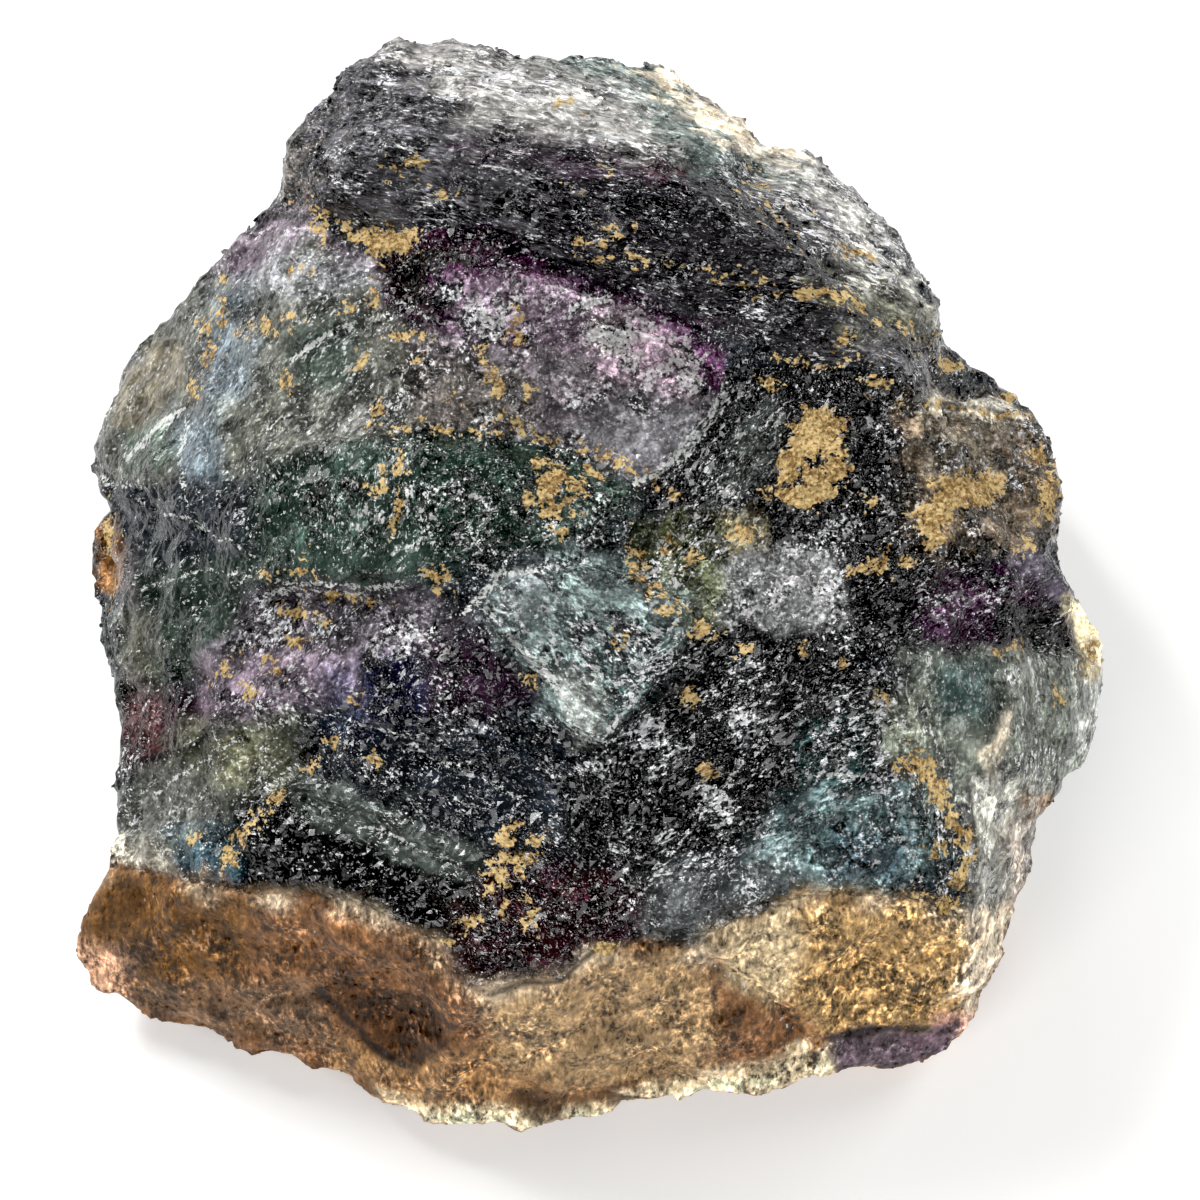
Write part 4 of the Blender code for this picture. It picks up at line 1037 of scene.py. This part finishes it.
def mixColour(tree, share, a, b):
    return addNode(tree, "ShaderNodeMix", {0: share, 6: a, 7: b}, data_type="RGBA").outputs[2]


def mixVector(tree, share, a, b):
    return addNode(tree, "ShaderNodeMix", {0: share, 4: a, 5: b}, data_type="VECTOR").outputs[1]


def mixFloat(tree, share, a, b):
    return addNode(tree, "ShaderNodeMix", {0: share, 2: a, 3: b}, data_type="FLOAT").outputs[0]


def newGroup(name, inputs, outputs):
    group = bpy.data.node_groups.new(name, "ShaderNodeTree")
    for label, kind, value in inputs:
        socket = group.interface.new_socket(label, in_out="INPUT", socket_type=kind)
        if value is not None:
            socket.default_value = value
    for label, kind in outputs:
        group.interface.new_socket(label, in_out="OUTPUT", socket_type=kind)
    return group, group.nodes.new("NodeGroupInput"), group.nodes.new("NodeGroupOutput")


def useGroup(tree, group, **inputs):
    node = tree.nodes.new("ShaderNodeGroup")
    node.node_tree = group
    for name, value in inputs.items():
        feed(tree, node.inputs[name], value)
    return node


def makeRaggedEdge():
    # turns a depth in millimetres into a mask with a ragged edge
    group, start, end = newGroup(
        "raggedEdge",
        [("Place", "NodeSocketVector", None), ("Depth", "NodeSocketFloat", 0.0),
         ("Size", "NodeSocketFloat", 0.5), ("Raggedness", "NodeSocketFloat", 0.5),
         ("Edge", "NodeSocketFloat", 0.1)],
        [("Mask", "NodeSocketFloat")])
    scale = mathNode(group, "DIVIDE", 1.0, start.outputs["Size"])
    noise = addNode(group, "ShaderNodeTexNoise", {"Vector": start.outputs["Place"], "Scale": scale,
                                                  "Detail": 2.0, "Roughness": 0.65})
    offset = times(group, minus(group, noise.outputs[0], 0.5), start.outputs["Raggedness"])
    depth = plus(group, start.outputs["Depth"], times(group, offset, 4.0))
    low = times(group, start.outputs["Edge"], -1.0)
    group.links.new(mapNode(group, depth, low, start.outputs["Edge"]), end.inputs["Mask"])
    return group


def makeSpeckle():
    # grains that stand out from noise, denser as Density rises from 0 to 1
    group, start, end = newGroup(
        "speckle",
        [("Place", "NodeSocketVector", None), ("Size", "NodeSocketFloat", 0.4),
         ("Density", "NodeSocketFloat", 0.5), ("Softness", "NodeSocketFloat", 0.05),
         ("Detail", "NodeSocketFloat", 4.0)],
        [("Mask", "NodeSocketFloat")])
    scale = mathNode(group, "DIVIDE", 1.0, start.outputs["Size"])
    noise = addNode(group, "ShaderNodeTexNoise", {"Vector": start.outputs["Place"], "Scale": scale,
                                                  "Detail": start.outputs["Detail"], "Roughness": 0.7})
    low = minus(group, 0.74, times(group, start.outputs["Density"], 0.27))
    high = plus(group, low, start.outputs["Softness"])
    group.links.new(mapNode(group, noise.outputs[0], low, high), end.inputs["Mask"])
    return group


def makeBrokenFacets():
    # small planes, each with a tilt of its own, as a height in millimetres
    group, start, end = newGroup(
        "brokenFacets",
        [("Place", "NodeSocketVector", None), ("Size", "NodeSocketFloat", 1.0),
         ("Slope", "NodeSocketFloat", 0.4)],
        [("Height", "NodeSocketFloat"), ("Shade", "NodeSocketFloat")])
    scale = mathNode(group, "DIVIDE", 1.0, start.outputs["Size"])
    cells = addNode(group, "ShaderNodeTexVoronoi", {"Vector": start.outputs["Place"], "Scale": scale})
    local = addNode(group, "ShaderNodeVectorMath", operation="SUBTRACT")
    group.links.new(start.outputs["Place"], local.inputs[0])
    group.links.new(cells.outputs["Position"], local.inputs[1])
    lean = addNode(group, "ShaderNodeVectorMath", operation="SUBTRACT")
    group.links.new(cells.outputs["Color"], lean.inputs[0])
    lean.inputs[1].default_value = (0.5, 0.5, 0.5)
    rise = addNode(group, "ShaderNodeVectorMath", operation="DOT_PRODUCT")
    group.links.new(local.outputs[0], rise.inputs[0])
    group.links.new(lean.outputs[0], rise.inputs[1])
    height = times(group, rise.outputs["Value"], times(group, start.outputs["Slope"], 2.0))
    group.links.new(height, end.inputs["Height"])
    shade = addNode(group, "ShaderNodeSeparateColor", {"Color": cells.outputs["Color"]})
    group.links.new(shade.outputs[0], end.inputs["Shade"])
    return group


raggedEdge, speckle, brokenFacets = makeRaggedEdge(), makeSpeckle(), makeBrokenFacets()


def attributeFloat(tree, name):
    return addNode(tree, "ShaderNodeAttribute", attribute_name=name).outputs["Fac"]


def placeInMillimetres(tree):
    where = addNode(tree, "ShaderNodeTexCoord")
    scaled = addNode(tree, "ShaderNodeVectorMath", operation="SCALE")
    tree.links.new(where.outputs["Object"], scaled.inputs[0])
    scaled.inputs["Scale"].default_value = 1 / mm
    return scaled.outputs[0]


def stretched(tree, place, turn, stretch):
    node = addNode(tree, "ShaderNodeMapping", {"Vector": place, "Scale": stretch,
                                               "Rotation": tuple(math.radians(a) for a in turn)},
                   vector_type="TEXTURE")
    return node.outputs[0]


def shaderColour(colour):
    return tuple(float(v) for v in linear(colour)) + (1.0,)


fluoriteFinish = {
    "fleckAndGlintColour": (250, 250, 252),
    "dullFleckAndGlintColour": (166, 168, 169),
    "veinAndHighlightColour": (222, 224, 220),
    "shadeColour": (14, 13, 16),
    "clumpColour": (206, 203, 202),
    "ochreLight": (216, 188, 132),
    "ochreDark": (128, 98, 54),
    "poreColour": (58, 40, 26),
    "crustStretch": (1.1, 1.9, 1.9),
    "grainScale": 2.3,
    "hillScale": 1.5,
    "strandScale": 0.40,
    "shardScale": 0.48,
    "facetSize": 0.62,
    "clumpSize": 1.1,
    "bite": 6.5,  # how strongly the grain lightens and darkens
    "shardTone": 2.2,
    "facetTone": 1.1,
    "cloudBite": 3.8,
    "curlWidth": 0.019,
    "strandWidth": 0.008,
    "curlReach": 0.09,
    "hillHeight": 0.85,
    "facetSlope": 0.36,
    "roughness": 0.17,
    "wetRoughness": 0.08,
    "crustRoughness": 0.60,
    "ochreRoughness": 0.85,
    "coat": 0.5,
    "coatRoughness": 0.05,
    "ior": 1.43,
}


def makeFluorite(finish):
    material = bpy.data.materials.new("bandedFluorite")
    material.use_nodes = True
    tree = material.node_tree
    shader = tree.nodes["Principled BSDF"]
    place = placeInMillimetres(tree)
    tint = addNode(tree, "ShaderNodeAttribute", attribute_name="tint").outputs["Color"]
    ochreDepth, veinGap = attributeFloat(tree, "ochreDepth"), attributeFloat(tree, "veinGap")
    crustDepth, fleck = attributeFloat(tree, "crustDepth"), attributeFloat(tree, "fleck")
    wet = attributeFloat(tree, "wet")
    rugged, darkGap = attributeFloat(tree, "rugged"), attributeFloat(tree, "darkGap")
    cloudAway = minus(tree, attributeFloat(tree, "cloud"), 0.5)

    # the grain runs its own way in each zone, and in short upright columns in the crust
    grainPlace = place
    for name, (turn, stretch, _) in flowZones.items():
        inside = mathNode(tree, "GREATER_THAN", plus(tree, attributeFloat(tree, name), cloudAway), 0.5)
        grainPlace = mixVector(tree, inside, grainPlace, stretched(tree, place, (0, 0, turn), stretch))
    columned = mathNode(tree, "GREATER_THAN", plus(tree, crustDepth, cloudAway), 0.0)
    grainPlace = mixVector(tree, columned, grainPlace,
                           stretched(tree, place, (0, 0, 0), finish["crustStretch"]))
    grain = addNode(tree, "ShaderNodeTexNoise", {"Vector": grainPlace, "Scale": finish["grainScale"],
                                                 "Detail": 3.0, "Roughness": 0.70}).outputs[0]
    hills = addNode(tree, "ShaderNodeTexNoise", {"Vector": grainPlace, "Scale": finish["hillScale"],
                                                 "Detail": 1.0, "Roughness": 0.5}).outputs[0]
    grainAway, hillsAway = minus(tree, grain, 0.5), minus(tree, hills, 0.5)
    cloudAway = plus(tree, cloudAway, times(tree, grainAway, 0.22))
    crust = mapNode(tree, plus(tree, crustDepth, times(tree, cloudAway, 3.0)), -0.45, 0.45)
    notCrust = minus(tree, 1.0, crust)
    ochre = useGroup(tree, raggedEdge, Place=place, Depth=ochreDepth, Size=0.9, Raggedness=1.25,
                     Edge=0.06).outputs[0]
    ochreGrain = plus(tree, grain, times(tree, ochreDepth, 0.10))
    ochre = times(tree, ochre, mapNode(tree, ochreGrain, 0.38, 0.44))

    # the ground is broken into shards: some are lighter, and some carry more flecks and painted glints
    # than others
    bent = addNode(tree, "ShaderNodeCombineXYZ", {"X": hillsAway, "Y": grainAway,
                                                  "Z": hillsAway}).outputs[0]
    bent = addNode(tree, "ShaderNodeVectorMath", {0: bent, 1: grainPlace}, operation="ADD").outputs[0]
    shards = addNode(tree, "ShaderNodeTexVoronoi", {"Vector": bent,
                                                    "Scale": finish["shardScale"]}).outputs["Color"]
    shards = addNode(tree, "ShaderNodeSeparateColor", {"Color": shards})
    facets = useGroup(tree, brokenFacets, Place=grainPlace, Size=finish["facetSize"],
                      Slope=finish["facetSlope"])
    facetTone = times(tree, minus(tree, facets.outputs["Shade"], 0.5), finish["facetTone"])
    shardTone = times(tree, minus(tree, shards.outputs[0], 0.5), finish["shardTone"])
    shardTone = times(tree, plus(tree, shardTone, facetTone), notCrust)
    shardTone = times(tree, shardTone, plus(tree, rugged, 0.25))
    shardShare = plus(tree, times(tree, shards.outputs[1], 1.3), 0.30)
    fleck = times(tree, fleck, shardShare)

    # light and dark grain of the broken crystal: the rougher the ground, the stronger
    bite = plus(tree, times(tree, rugged, finish["bite"]), 1.5)
    bite = times(tree, bite, plus(tree, times(tree, shardShare, 0.6), 0.4))
    fine = plus(tree, grainAway, times(tree, hillsAway, 0.5))
    fine = minus(tree, fine, times(tree, bite, 0.004))
    fineShade = mathNode(tree, "EXPONENT", times(tree, bite, fine))
    cloudShade = times(tree, cloudAway, finish["cloudBite"])
    cloudShade = mathNode(tree, "EXPONENT", plus(tree, cloudShade, shardTone))
    shade = mathNode(tree, "MINIMUM", times(tree, fineShade, cloudShade), 6.0)
    scaled = addNode(tree, "ShaderNodeVectorMath", operation="SCALE")
    tree.links.new(tint, scaled.inputs[0])
    tree.links.new(shade, scaled.inputs["Scale"])
    body = scaled.outputs[0]

    # painted shade darkens the deep gaps and creases along their lines, and the thin dark lines between
    # the hills are partly cracks and partly painted shade beside the curled highlights
    shadeLineDepth = minus(tree, times(tree, grainAway, 1.2), darkGap)
    shadeLineMask = times(tree, mapNode(tree, shadeLineDepth, -0.35, 0.15), 0.85)
    cracksAndShade = mapNode(tree, mathNode(tree, "ABSOLUTE", plus(tree, hillsAway, 0.04)), 0.0, 0.035, 1.0, 0.0)
    cracksAndShade = times(tree, times(tree, cracksAndShade, notCrust), times(tree, rugged, 0.75))
    dark = mathNode(tree, "MAXIMUM", shadeLineMask, cracksAndShade)
    body = mixColour(tree, dark, body, shaderColour(finish["shadeColour"]))

    # healed cracks, and painted highlights, at the places listed
    veinAndHighlightDepth = minus(tree, times(tree, grainAway, 1.8), veinGap)
    veinsAndHighlights = times(tree, mapNode(tree, veinAndHighlightDepth, 0.0, 0.14), 0.8)
    body = mixColour(tree, veinsAndHighlights, body, shaderColour(finish["veinAndHighlightColour"]))

    # long thin pale cracks wander over the broken ground
    wander = addNode(tree, "ShaderNodeTexNoise", {"Vector": grainPlace, "Scale": finish["strandScale"],
                                                  "Detail": 0.0}).outputs[0]
    wander = plus(tree, minus(tree, wander, 0.5), times(tree, hillsAway, 0.05))
    strands = mapNode(tree, mathNode(tree, "ABSOLUTE", wander), 0.002, finish["strandWidth"], 1.0, 0.0)
    strands = times(tree, times(tree, strands, notCrust),
                    mapNode(tree, plus(tree, grainAway, times(tree, fleck, 0.10)), 0.05, 0.11))
    body = mixColour(tree, times(tree, strands, 0.8), body, shaderColour(finish["veinAndHighlightColour"]))

    # pale flecks, partly painted glints, stand on the peaks of the grain, and thin pale lines curl along
    # the hills, partly hair cracks and partly painted highlights
    low = minus(tree, 0.72, times(tree, fleck, 0.15))
    low = minus(tree, low, times(tree, cloudAway, 0.35))
    peaks = mapNode(tree, grain, low, plus(tree, low, 0.02))
    curls = mathNode(tree, "ABSOLUTE", minus(tree, hillsAway, 0.04))
    curls = mapNode(tree, curls, 0.0, finish["curlWidth"], 1.0, 0.0)
    curlLow = minus(tree, low, finish["curlReach"])
    curls = times(tree, curls, mapNode(tree, grain, curlLow, plus(tree, curlLow, 0.05)))
    flecksAndGlints = mathNode(tree, "MAXIMUM", peaks, curls)
    flecksAndGlints = times(tree, flecksAndGlints, plus(tree, times(tree, notCrust, 0.85), 0.13))
    fleckAndGlintPaint = mixColour(tree, mapNode(tree, facets.outputs["Shade"], 0.1, 0.65),
                           shaderColour(finish["dullFleckAndGlintColour"]), shaderColour(finish["fleckAndGlintColour"]))
    body = mixColour(tree, flecksAndGlints, body, fleckAndGlintPaint)

    # pale clumps cling to the rough ground, thickest on the purple crystal and on the frosted crest,
    # where they also paint its glare
    clumps = useGroup(tree, speckle, Place=grainPlace, Size=finish["clumpSize"],
                      Density=attributeFloat(tree, "clump"), Softness=0.035, Detail=2.0).outputs[0]
    clumps = times(tree, clumps, mapNode(tree, grain, 0.38, 0.50))
    clumpPaint = mixColour(tree, 0.22, shaderColour(finish["clumpColour"]), tint)
    body = mixColour(tree, times(tree, clumps, 0.85), body, clumpPaint)

    # the crust is granular, with dark pores
    pores = plus(tree, grainAway, times(tree, cloudAway, 0.8))
    pores = times(tree, mapNode(tree, pores, -0.14, -0.22), crust)
    body = mixColour(tree, times(tree, pores, 0.85), body, shaderColour(finish["poreColour"]))

    ochreTone = mapNode(tree, plus(tree, grainAway, times(tree, cloudAway, 0.7)), -0.16, 0.12)
    ochrePaint = mixColour(tree, ochreTone, shaderColour(finish["ochreDark"]),
                           shaderColour(finish["ochreLight"]))
    body = mixColour(tree, ochre, body, ochrePaint)
    tree.links.new(body, shader.inputs["Base Color"])

    rough = mixFloat(tree, wet, finish["roughness"], finish["wetRoughness"])
    rough = plus(tree, rough, mapNode(tree, grain, 0.35, 0.65, -0.04, 0.08))
    rough = mixFloat(tree, crust, rough, finish["crustRoughness"])
    rough = mixFloat(tree, ochre, rough, finish["ochreRoughness"])
    tree.links.new(rough, shader.inputs["Roughness"])
    clear = times(tree, wet, minus(tree, 1.0, ochre))
    tree.links.new(times(tree, clear, finish["coat"]), shader.inputs["Coat Weight"])
    shader.inputs["Coat Roughness"].default_value = finish["coatRoughness"]
    shader.inputs["IOR"].default_value = finish["ior"]

    # relief in millimetres: smooth hills, which carry the curled lights, and broken facets
    relief = plus(tree, times(tree, hillsAway, finish["hillHeight"]), facets.outputs["Height"])
    relief = times(tree, relief, plus(tree, rugged, 0.2))
    bump = addNode(tree, "ShaderNodeBump", {"Height": relief, "Strength": 1.0, "Distance": mm})
    tree.links.new(bump.outputs[0], shader.inputs["Normal"])
    return material


fluorite = makeFluorite(fluoriteFinish)
stone.data.materials.clear()
stone.data.materials.append(fluorite)
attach(stone, "root")
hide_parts("fluorite_stone")
print("fluorite finished")

# crumbs, grains and chips on the stone
# Each kind of grain is scattered by one small tree of nodes, where its own layer on the stone is above 0.
grainKinds = {
    "ochre_crumbs": {"layer": "ochreCrumb", "perSquareMm": 1.3, "smallest": 0.06, "largest": 0.20,
                     "flat": 0.6, "seed": 5},
    "crust_grains": {"layer": "crustGrain", "perSquareMm": 1.1, "smallest": 0.10, "largest": 0.30,
                     "flat": 0.9, "seed": 11},
    "cleavage_chips": {"layer": "chip", "perSquareMm": 0.55, "smallest": 0.14, "largest": 0.48,
                       "flat": 0.45, "seed": 23},
}


def layGrainLayers(piece, painted):
    mesh = piece.data
    points, normals, ochre, crust, underside = painted
    place = viewPlace(points)
    facing = ramp((normals @ backward + 0.05) / 0.3)
    above = ramp((points[:, 2] - 0.6) / 0.4) * (1 - underside)
    grainy = ramp(0.5 + patchDepth(place, grainyCrust) / 40) * facing
    setFloat(mesh, "ochreCrumb", above * ramp((ochre + 0.05) / 0.3))
    setFloat(mesh, "crustGrain", above * ramp(crust) * (0.25 + 0.75 * grainy))
    ruggedness = strongestPatch(place, ruggedPatches, 2, 0.0)
    rocky = ramp((ruggedness - 0.45) / 0.3) * facing + 0.35 * (1 - facing)
    setFloat(mesh, "chip", above * rocky * ramp(-crust) * ramp(-ochre))


def makeGrainTree():
    tree = bpy.data.node_groups.new("scatterGrains", "GeometryNodeTree")
    for label, kind in (("Stone", "NodeSocketGeometry"), ("Per Square Metre", "NodeSocketFloat"),
                        ("Layer", "NodeSocketString"), ("Smallest", "NodeSocketFloat"),
                        ("Largest", "NodeSocketFloat"), ("Flat", "NodeSocketFloat"),
                        ("Seed", "NodeSocketInt"), ("Finish", "NodeSocketMaterial")):
        tree.interface.new_socket(label, in_out="INPUT", socket_type=kind)
    tree.interface.new_socket("Grains", in_out="OUTPUT", socket_type="NodeSocketGeometry")
    start, end = tree.nodes.new("NodeGroupInput"), tree.nodes.new("NodeGroupOutput")

    given = start.outputs
    layer = addNode(tree, "GeometryNodeInputNamedAttribute", {"Name": given["Layer"]}, data_type="FLOAT")
    density = times(tree, given["Per Square Metre"], layer.outputs["Attribute"])
    spread = addNode(tree, "GeometryNodeDistributePointsOnFaces",
                     {"Mesh": given["Stone"], "Density": density, "Seed": given["Seed"]},
                     distribute_method="RANDOM")
    lump = addNode(tree, "GeometryNodeMeshIcoSphere", {"Radius": 1.0, "Subdivisions": 1})
    size = addNode(tree, "FunctionNodeRandomValue",
                   {2: given["Smallest"], 3: given["Largest"], "Seed": given["Seed"]},
                   data_type="FLOAT").outputs[1]
    longer = addNode(tree, "FunctionNodeRandomValue", {2: 0.7, 3: 1.6}, data_type="FLOAT").outputs[1]
    shape = addNode(tree, "ShaderNodeCombineXYZ", {"X": times(tree, size, longer), "Y": size,
                                                   "Z": times(tree, size, given["Flat"])})
    lean = addNode(tree, "FunctionNodeRandomValue", {0: (-0.9, -0.9, -3.14), 1: (0.9, 0.9, 3.14)},
                   data_type="FLOAT_VECTOR").outputs[0]
    turn = addNode(tree, "FunctionNodeRotateRotation", {0: spread.outputs["Rotation"], 1: lean},
                   rotation_space="LOCAL")
    lay = addNode(tree, "GeometryNodeInstanceOnPoints",
                  {"Points": spread.outputs["Points"], "Instance": lump.outputs["Mesh"],
                   "Rotation": turn.outputs[0], "Scale": shape.outputs[0]})
    real = addNode(tree, "GeometryNodeRealizeInstances", {0: lay.outputs[0]})
    finish = addNode(tree, "GeometryNodeSetMaterial",
                     {"Geometry": real.outputs[0], "Material": given["Finish"]})
    tree.links.new(finish.outputs[0], end.inputs[0])
    return tree


def scatterGrains(name, kind, tree, finish):
    piece = bpy.data.objects.new(name, stone.data.copy())
    bpy.context.scene.collection.objects.link(piece)
    spread = piece.modifiers.new("scatter", "NODES")
    spread.node_group = tree
    sockets = {item.name: item.identifier for item in tree.interface.items_tree
               if item.item_type == "SOCKET"}
    for label, value in (("Per Square Metre", kind["perSquareMm"] * 1e6), ("Layer", kind["layer"]),
                         ("Smallest", kind["smallest"] * mm), ("Largest", kind["largest"] * mm),
                         ("Flat", kind["flat"]), ("Seed", kind["seed"]), ("Finish", finish)):
        spread[sockets[label]] = value
    applyModifiers(piece)
    keepInBox(piece.data, lowBox, highBox)
    piece.data.materials.clear()
    piece.data.materials.append(finish)
    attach(piece, "root")
    print(name, "laid:", len(piece.data.polygons), "faces")


ochreEarthFinish = {
    "dark": (150, 112, 62),
    "light": (226, 196, 140),
    "spotSize": 0.9,
    "roughness": 0.85,
    "facetSize": 0.22,
    "facetSlope": 0.4,
    "bump": 0.8,
}


def makeOchreEarth(finish):
    # crumbly, matt, yellow brown earth
    material = bpy.data.materials.new("ochreEarth")
    material.use_nodes = True
    tree = material.node_tree
    shader = tree.nodes["Principled BSDF"]
    place = placeInMillimetres(tree)
    spots = useGroup(tree, speckle, Place=place, Size=finish["spotSize"], Density=0.95, Softness=0.12,
                     Detail=4.0)
    paint = mixColour(tree, spots.outputs["Mask"], shaderColour(finish["dark"]),
                      shaderColour(finish["light"]))
    tree.links.new(paint, shader.inputs["Base Color"])
    shader.inputs["Roughness"].default_value = finish["roughness"]
    facets = useGroup(tree, brokenFacets, Place=place, Size=finish["facetSize"],
                      Slope=finish["facetSlope"]).outputs["Height"]
    bump = addNode(tree, "ShaderNodeBump", {"Height": facets, "Strength": finish["bump"], "Distance": mm})
    tree.links.new(bump.outputs[0], shader.inputs["Normal"])
    return material


layGrainLayers(stone, painted)
grainTree = makeGrainTree()
ochreEarth = makeOchreEarth(ochreEarthFinish)
for name, kind in grainKinds.items():
    scatterGrains(name, kind, grainTree, ochreEarth if name == "ochre_crumbs" else fluorite)

# floor, light and surroundings
stageSetup = {
    "floorColour": (0.92, 0.92, 0.915, 1.0),
    "floorSize": 6.0,
    "floorGlow": 0.2,
    "surroundings": (1.0, 1.0, 1.0, 1.0),
    "surroundingsStrength": 0.16,
    "blackLevel": 0.010,
    # name: place, aimed at, width, height, watts
    "lamps": {
        "backLeftLamp": ((-0.45, 0.45, 0.55), (0, 0, 0.02), 0.30, 0.30, 6.0),
        "backRightLamp": ((0.50, 0.35, 0.45), (0, 0, 0.02), 0.30, 0.30, 1.9),
        "frontLeftLamp": ((-0.45, -0.55, 0.60), (0, 0, 0.02), 0.38, 0.38, 2.3),
        "frontRightLamp": ((0.50, -0.50, 0.55), (0, 0, 0.02), 0.36, 0.36, 2.9),
        "lowBackLamp": ((-0.10, 0.85, 0.36), (0, 0, 0.03), 0.4, 0.2, 2.0),
    },
}


def makeStage(setup):
    half = setup["floorSize"] / 2
    mesh = bpy.data.meshes.new("floor")
    mesh.from_pydata([(-half, -half, 0), (half, -half, 0), (half, half, 0), (-half, half, 0)], [],
                     [(0, 1, 2, 3)])
    floor = bpy.data.objects.new("floor", mesh)
    bpy.context.scene.collection.objects.link(floor)
    material = bpy.data.materials.new("paleFloor")
    material.use_nodes = True
    shader = material.node_tree.nodes["Principled BSDF"]
    shader.inputs["Base Color"].default_value = setup["floorColour"]
    shader.inputs["Roughness"].default_value = 0.8
    shader.inputs["Emission Color"].default_value = setup["floorColour"]
    shader.inputs["Emission Strength"].default_value = setup["floorGlow"]
    mesh.materials.append(material)
    world = bpy.data.worlds.new("paleRoom")
    world.use_nodes = True
    background = world.node_tree.nodes["Background"]
    background.inputs["Color"].default_value = setup["surroundings"]
    path = world.node_tree.nodes.new("ShaderNodeLightPath")
    strength = world.node_tree.nodes.new("ShaderNodeMapRange")
    strength.inputs["To Min"].default_value = setup["surroundingsStrength"]
    strength.inputs["To Max"].default_value = 1.0
    world.node_tree.links.new(path.outputs["Is Camera Ray"], strength.inputs["Value"])
    world.node_tree.links.new(strength.outputs["Result"], background.inputs["Strength"])
    bpy.context.scene.world = world
    for name, (spot, aim, wide, high, watts) in setup["lamps"].items():
        data = bpy.data.lights.new(name, "AREA")
        data.shape = "RECTANGLE"
        data.size, data.size_y, data.energy = wide, high, watts
        lamp = bpy.data.objects.new(name, data)
        lamp.location = spot
        lamp.rotation_euler = (Vector(aim) - Vector(spot)).to_track_quat("-Z", "Y").to_euler()
        bpy.context.scene.collection.objects.link(lamp)
    shown = bpy.context.scene.view_settings
    shown.view_transform = "Standard"
    shown.use_curve_mapping = True  # a photograph's deeper blacks
    shown.curve_mapping.black_level = [setup["blackLevel"]] * 3
    shown.curve_mapping.update()


makeStage(stageSetup)
print("stage set")
